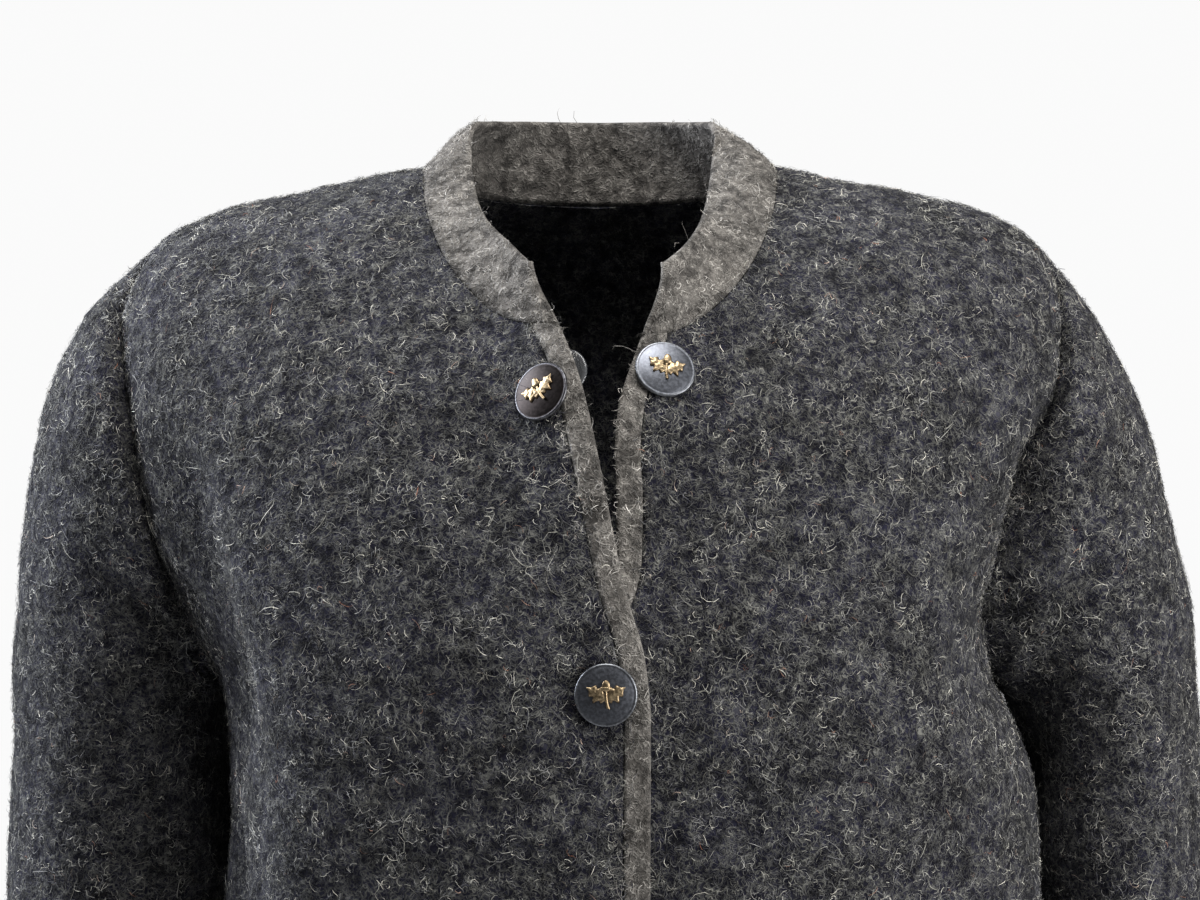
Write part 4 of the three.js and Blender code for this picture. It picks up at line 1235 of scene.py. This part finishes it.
def acorn():
    """A nut standing in its cup, half sunk in the badge."""
    parts = []
    nut = arc((0, 0), (1.5, 2.1), np.linspace(0.02, math.pi - 0.02, 16) - math.pi / 2)
    cup = arc((0, 0), (1.85, 1.35), np.linspace(0.02, 1.75, 12) - math.pi / 2)
    cup += [(1.55, 0.33), (1.3, 0.12)]
    for profile, foot, scaly in ((nut, 3.3, False), (cup, 2.6, True)):
        points, quads = lathe(profile, 24)
        if scaly:
            spin = np.arctan2(points[:, 1], points[:, 0])
            scales = 1 + 0.05 * np.cos(8 * spin) * np.cos(7 * points[:, 2])
            points = points * np.stack([scales, scales, np.ones(len(spin))], axis=-1)
        points = np.stack([points[:, 0], points[:, 2] + foot, points[:, 1] * 0.42], axis=-1)
        points[:, 2] += BADGE_BASE + 0.35
        parts.append((points, quads, np.clip(0.35 + points[:, 2] - BADGE_BASE - 0.5, 0, 1)))
    return parts


def stem():
    """A short bent stalk that carries leaves and acorn."""
    rows, around = STEM_STEPS
    middle = through(np.array(STEM_LINE), np.linspace(0, len(STEM_LINE) - 1, rows))
    turn = np.linspace(0, 2 * math.pi, around, endpoint=False)
    radius = np.linspace(0.62, 0.42, rows)[:, None]
    points = middle[:, None] + xyz(radius * np.cos(turn), 0, 0.7 * radius * np.sin(turn))
    points[..., 2] += BADGE_BASE
    wear_and_highlight = np.full(rows * around, 0.7)
    return points.reshape(-1, 3), grid_quads(rows, around, ring=True), wear_and_highlight


def badge(name, place, axis):
    parts = [leaf(32, -0.3, -1.7), leaf(148, 0.3, -1.7), *acorn(), stem()]
    points, quads, wear_and_highlight, used = [], [], [], 0
    for part_points, part_quads, part_wear in parts:
        points.append(part_points)
        quads.append(part_quads + used)
        wear_and_highlight.append(part_wear)
        used += len(part_points)
    points = standing(np.concatenate(points), place, axis)
    piece = new_object(f"{name}_sprig", points, np.concatenate(quads))
    add_wear_and_highlight(piece, np.concatenate(wear_and_highlight))
    close_ends(piece)
    return dress(piece, BRASS, [name])


def sew_button(name, place, axis, shank):
    lifted = place + axis * BUTTON_LIFT
    button(name, lifted, axis, shank, DARK_METAL if name == "button_top_right" else GUNMETAL)
    badge(name.replace("button", "badge"), lifted, axis)


def counter_button():
    """The flat clear button behind the open top one, with a rim and a dished middle."""
    size = COUNTER_BUTTON
    z = TOP_BUTTONS["button_top_right"]["z"] + size["above"]
    place, axis = seat("right", z, size["from_edge"])
    half, radius = size["thickness"] / 2, size["radius"]
    edge = arc((radius - half, 0), (half, half), np.radians(np.linspace(-90, 90, 9)))
    back = [(AXIS_HOLE, -half * 0.6), (radius - 2.6, -half * 0.7), (radius - 1.6, -half)]
    dish = [(radius - 1.8, half), (radius - 2.6, half * 0.35), (AXIS_HOLE, half * 0.3)]
    profile = [*back, *edge, *dish]
    points, quads = lathe(profile, 56)
    sunk = place - axis * (CLOTH + size["below"] + half)
    piece = new_object("counter_button_disc", standing(points, sunk, axis), quads)
    close_ends(piece)
    return dress(piece, CLEAR, ["counter_button"])


SLIT_HEIGHT = 21
SLIT_WIDTH = 4.4


def cut_slits(piece):
    """Cuts a buttonhole behind each closed button."""
    cutters = []
    outline = [(0, -0.5), (0.5, -0.2), (0.5, 0.2), (0, 0.5), (-0.5, 0.2), (-0.5, -0.2)]
    flat = np.array([(a * SLIT_WIDTH, 0, b * SLIT_HEIGHT) for a, b in outline])
    for k, z in enumerate(CLOSED_BUTTON_Z):
        place, _ = seat("right", z)
        points = np.concatenate([flat + (0, -6, 0), flat + (0, 6, 0)]) + place
        mesh = bpy.data.meshes.new(f"slit_{k}")
        sides = [(i, (i + 1) % 6, 6 + (i + 1) % 6, 6 + i) for i in range(6)]
        ends = [tuple(range(6))[::-1], tuple(range(6, 12))]
        mesh.from_pydata((points * MM).tolist(), [], [*ends, *sides])
        cutter = bpy.data.objects.new(f"slit_{k}", mesh)
        bpy.context.collection.objects.link(cutter)
        cutters.append(cutter)
        change = piece.modifiers.new("slit", "BOOLEAN")
        change.object = cutter
        change.solver = "EXACT"
    bpy.context.view_layer.update()
    cut = piece.evaluated_get(bpy.context.evaluated_depsgraph_get())
    done = bpy.data.meshes.new_from_object(cut)
    piece.modifiers.clear()
    piece.data = done
    for cutter in cutters:
        bpy.data.objects.remove(cutter)


def build_cloth():
    """Makes every cloth piece and returns its grids by name."""
    seam, joined, cut = SEAM_EDGE, JOINED_EDGE, FREE_EDGE
    grids = {"back": back_panel(), "collar": collar_panel()}
    for side in ("right", "left"):
        grids[f"front_{side}"] = front_panel(side)
        grids[f"sleeve_{side}"] = sleeve_panel(side)
        grids[f"band_{side}"] = band_panel(side)
    rounding = {
        "back": (cut, joined, seam, seam),
        "front": (cut, joined, joined, seam),
        "sleeve": (seam, cut, 0, 0),
        "collar": (joined, cut, cut, cut),
        "band": (cut, joined, joined, cut),
    }
    pieces = {}
    for name, (outer, _, inner) in grids.items():
        kind = name.split("_")[0]
        is_ring = kind == "sleeve"
        pieces[name] = wall(f"{name}_cloth", outer, inner, rounding[kind], is_ring)
    cut_slits(pieces["front_right"])
    for name, piece in pieces.items():
        is_trim = name.startswith(("collar", "band"))
        dress(piece, TRIM if is_trim else WOOL, [name])
    return grids, pieces


# Fibres per square millimetre near by and elsewhere, and their length against the body's nap.
TRIM_NAP = (0.75, 0.12, 0.8)
FELTED = (0.55, 0.1, 0.7)
ACROSS_SEAMS = (1.4, 0.1, 1.0)


def build_nap(grids):
    """The nap of each piece, as a piece of its own."""
    made = {}
    body = ("front_right", "front_left", "sleeve_right", "sleeve_left", "back")
    trim = ("collar", "band_right", "band_left")
    for first_seed, names, *look in (
        (100, body, WOOL_FIBRE, "wool"),
        (200, trim, TRIM_FIBRE, "trim_wool", *TRIM_NAP),
    ):
        for seed, name in enumerate(names, first_seed):
            outer, normals, _ = grids[name]
            on = [(outer, normals, name.startswith("sleeve"))]
            made[name] = nap(f"nap_{name}", seed, on, *look)
    return made


def strip(grids, name, rows=slice(None), columns=slice(None)):
    """A narrow part of a panel, for fibres along its seam."""
    outer, normals, _ = grids[name]
    return outer[rows, columns], normals[rows, columns], False


def build_seam_nap(grids):
    """Fibres of either wool felted over the seam into the other."""
    near, wider, last = slice(0, 2), slice(0, 3), slice(-3, None)
    neck_end = SHOULDER_STEPS + BACK_NECK_STEPS
    on_trim = [strip(grids, "collar", near)]
    on_wool = [strip(grids, "back", last, slice(SHOULDER_STEPS, neck_end + 1))]
    across = [
        strip(grids, "back", last, slice(0, SHOULDER_STEPS + 1)),
        strip(grids, "back", last, slice(neck_end, None)),
    ]
    for side in ("right", "left"):
        front = f"front_{side}"
        on_trim.append(strip(grids, f"band_{side}", columns=wider))
        on_wool.append(strip(grids, front, last, slice(0, FRONT_NECK_STEPS)))
        on_wool.append(strip(grids, front, columns=near))
        across.append(strip(grids, front, last, slice(FRONT_NECK_STEPS, None)))
        across.append(strip(grids, front, slice(SIDE_STEPS, None), last))
        across.append(strip(grids, f"sleeve_{side}", wider))
    return {
        "back": nap("nap_seam", 303, across, WOOL_FIBRE, "wool", *ACROSS_SEAMS),
        "collar": nap("nap_seam_dark", 301, on_trim, WOOL_FIBRE, "wool", *FELTED),
        "front_right": nap("nap_seam_pale", 302, on_wool, TRIM_FIBRE, "trim_wool", *FELTED),
    }


grids, cloth = build_cloth()
naps = build_nap(grids)
seam_naps = build_seam_nap(grids)

for name, at in TOP_BUTTONS.items():
    side = name.split("_")[-1]
    place, axis = seat(side, at["z"], at["from_edge"], at["turned"], at["tipped"])
    sew_button(name, place, axis, BUTTON_LIFT - SEAM_GAP)
for k, z in enumerate(CLOSED_BUTTON_Z):
    place, axis = seat("right", z)
    sew_button(f"button_{k + 2}", place, axis, BUTTON_LIFT + 2 * LAP_LIFT - SEAM_GAP)
counter_button()

# ---- floor, light and backdrop
FLOOR_Z = -1.42
FLOOR_HALF = 4.0


def add_floor():
    mesh = bpy.data.meshes.new("floor")
    half = FLOOR_HALF
    corners = [(-half, -half), (half, -half), (half, half), (-half, half)]
    mesh.from_pydata([(x, y, FLOOR_Z) for x, y in corners], [], [(0, 1, 2, 3)])
    mesh.materials.append(floor_paint())
    floor = bpy.data.objects.new("floor", mesh)
    bpy.context.collection.objects.link(floor)


def add_light(name, place, aim, size, power, colour):
    """A soft square lamp that looks from its place to where it is aimed."""
    lamp = bpy.data.lights.new(name, "AREA")
    lamp.size = size
    lamp.energy = power
    lamp.color = colour
    made = bpy.data.objects.new(name, lamp)
    made.location = place
    made.rotation_euler = (Vector(aim) - Vector(place)).to_track_quat("-Z", "Y").to_euler()
    bpy.context.collection.objects.link(made)


# Name, place and aim in metres, side in metres, power in watts, and colour.
LAMPS = (
    ("key", (0.05, -0.42, 0.95), (0, -0.05, -0.1), 0.6, 15.2, (1.0, 0.985, 0.965)),
    ("right", (1.05, -0.7, -0.05), (0, 0, -0.2), 0.6, 16, (1.0, 0.99, 0.985)),
    ("left", (-1.2, 0.2, 0.45), (0, 0, -0.2), 0.8, 45, (0.88, 0.92, 1.0)),
)
BACKDROP = 0.96
SKY_LOW, SKY_HIGH = 0.03, 0.11  # what the studio's walls add to the lamps, below and above


def add_sky():
    """A white backdrop all round. It lights the coat only dimly, a little more from above."""
    n = Nodes(bpy.data.worlds.new("studio"), "Background")
    place = n.add("ShaderNodeTexCoord").outputs["Generated"]
    upwards = n.add("ShaderNodeSeparateXYZ", Vector=place).outputs["Z"]
    level = n.add(
        "ShaderNodeMapRange", Value=upwards, From_Min=-1, To_Min=SKY_LOW, To_Max=SKY_HIGH
    ).outputs["Result"]
    seen = n.add("ShaderNodeLightPath").outputs["Is Camera Ray"]
    shade = n.add("ShaderNodeMix", Factor=seen, A=level, B=BACKDROP).outputs["Result"]
    bpy.context.scene.world = n.set(Color=shade)


add_floor()
add_sky()
for lamp in LAMPS:
    add_light(*lamp)
bpy.context.scene.view_settings.view_transform = "Standard"
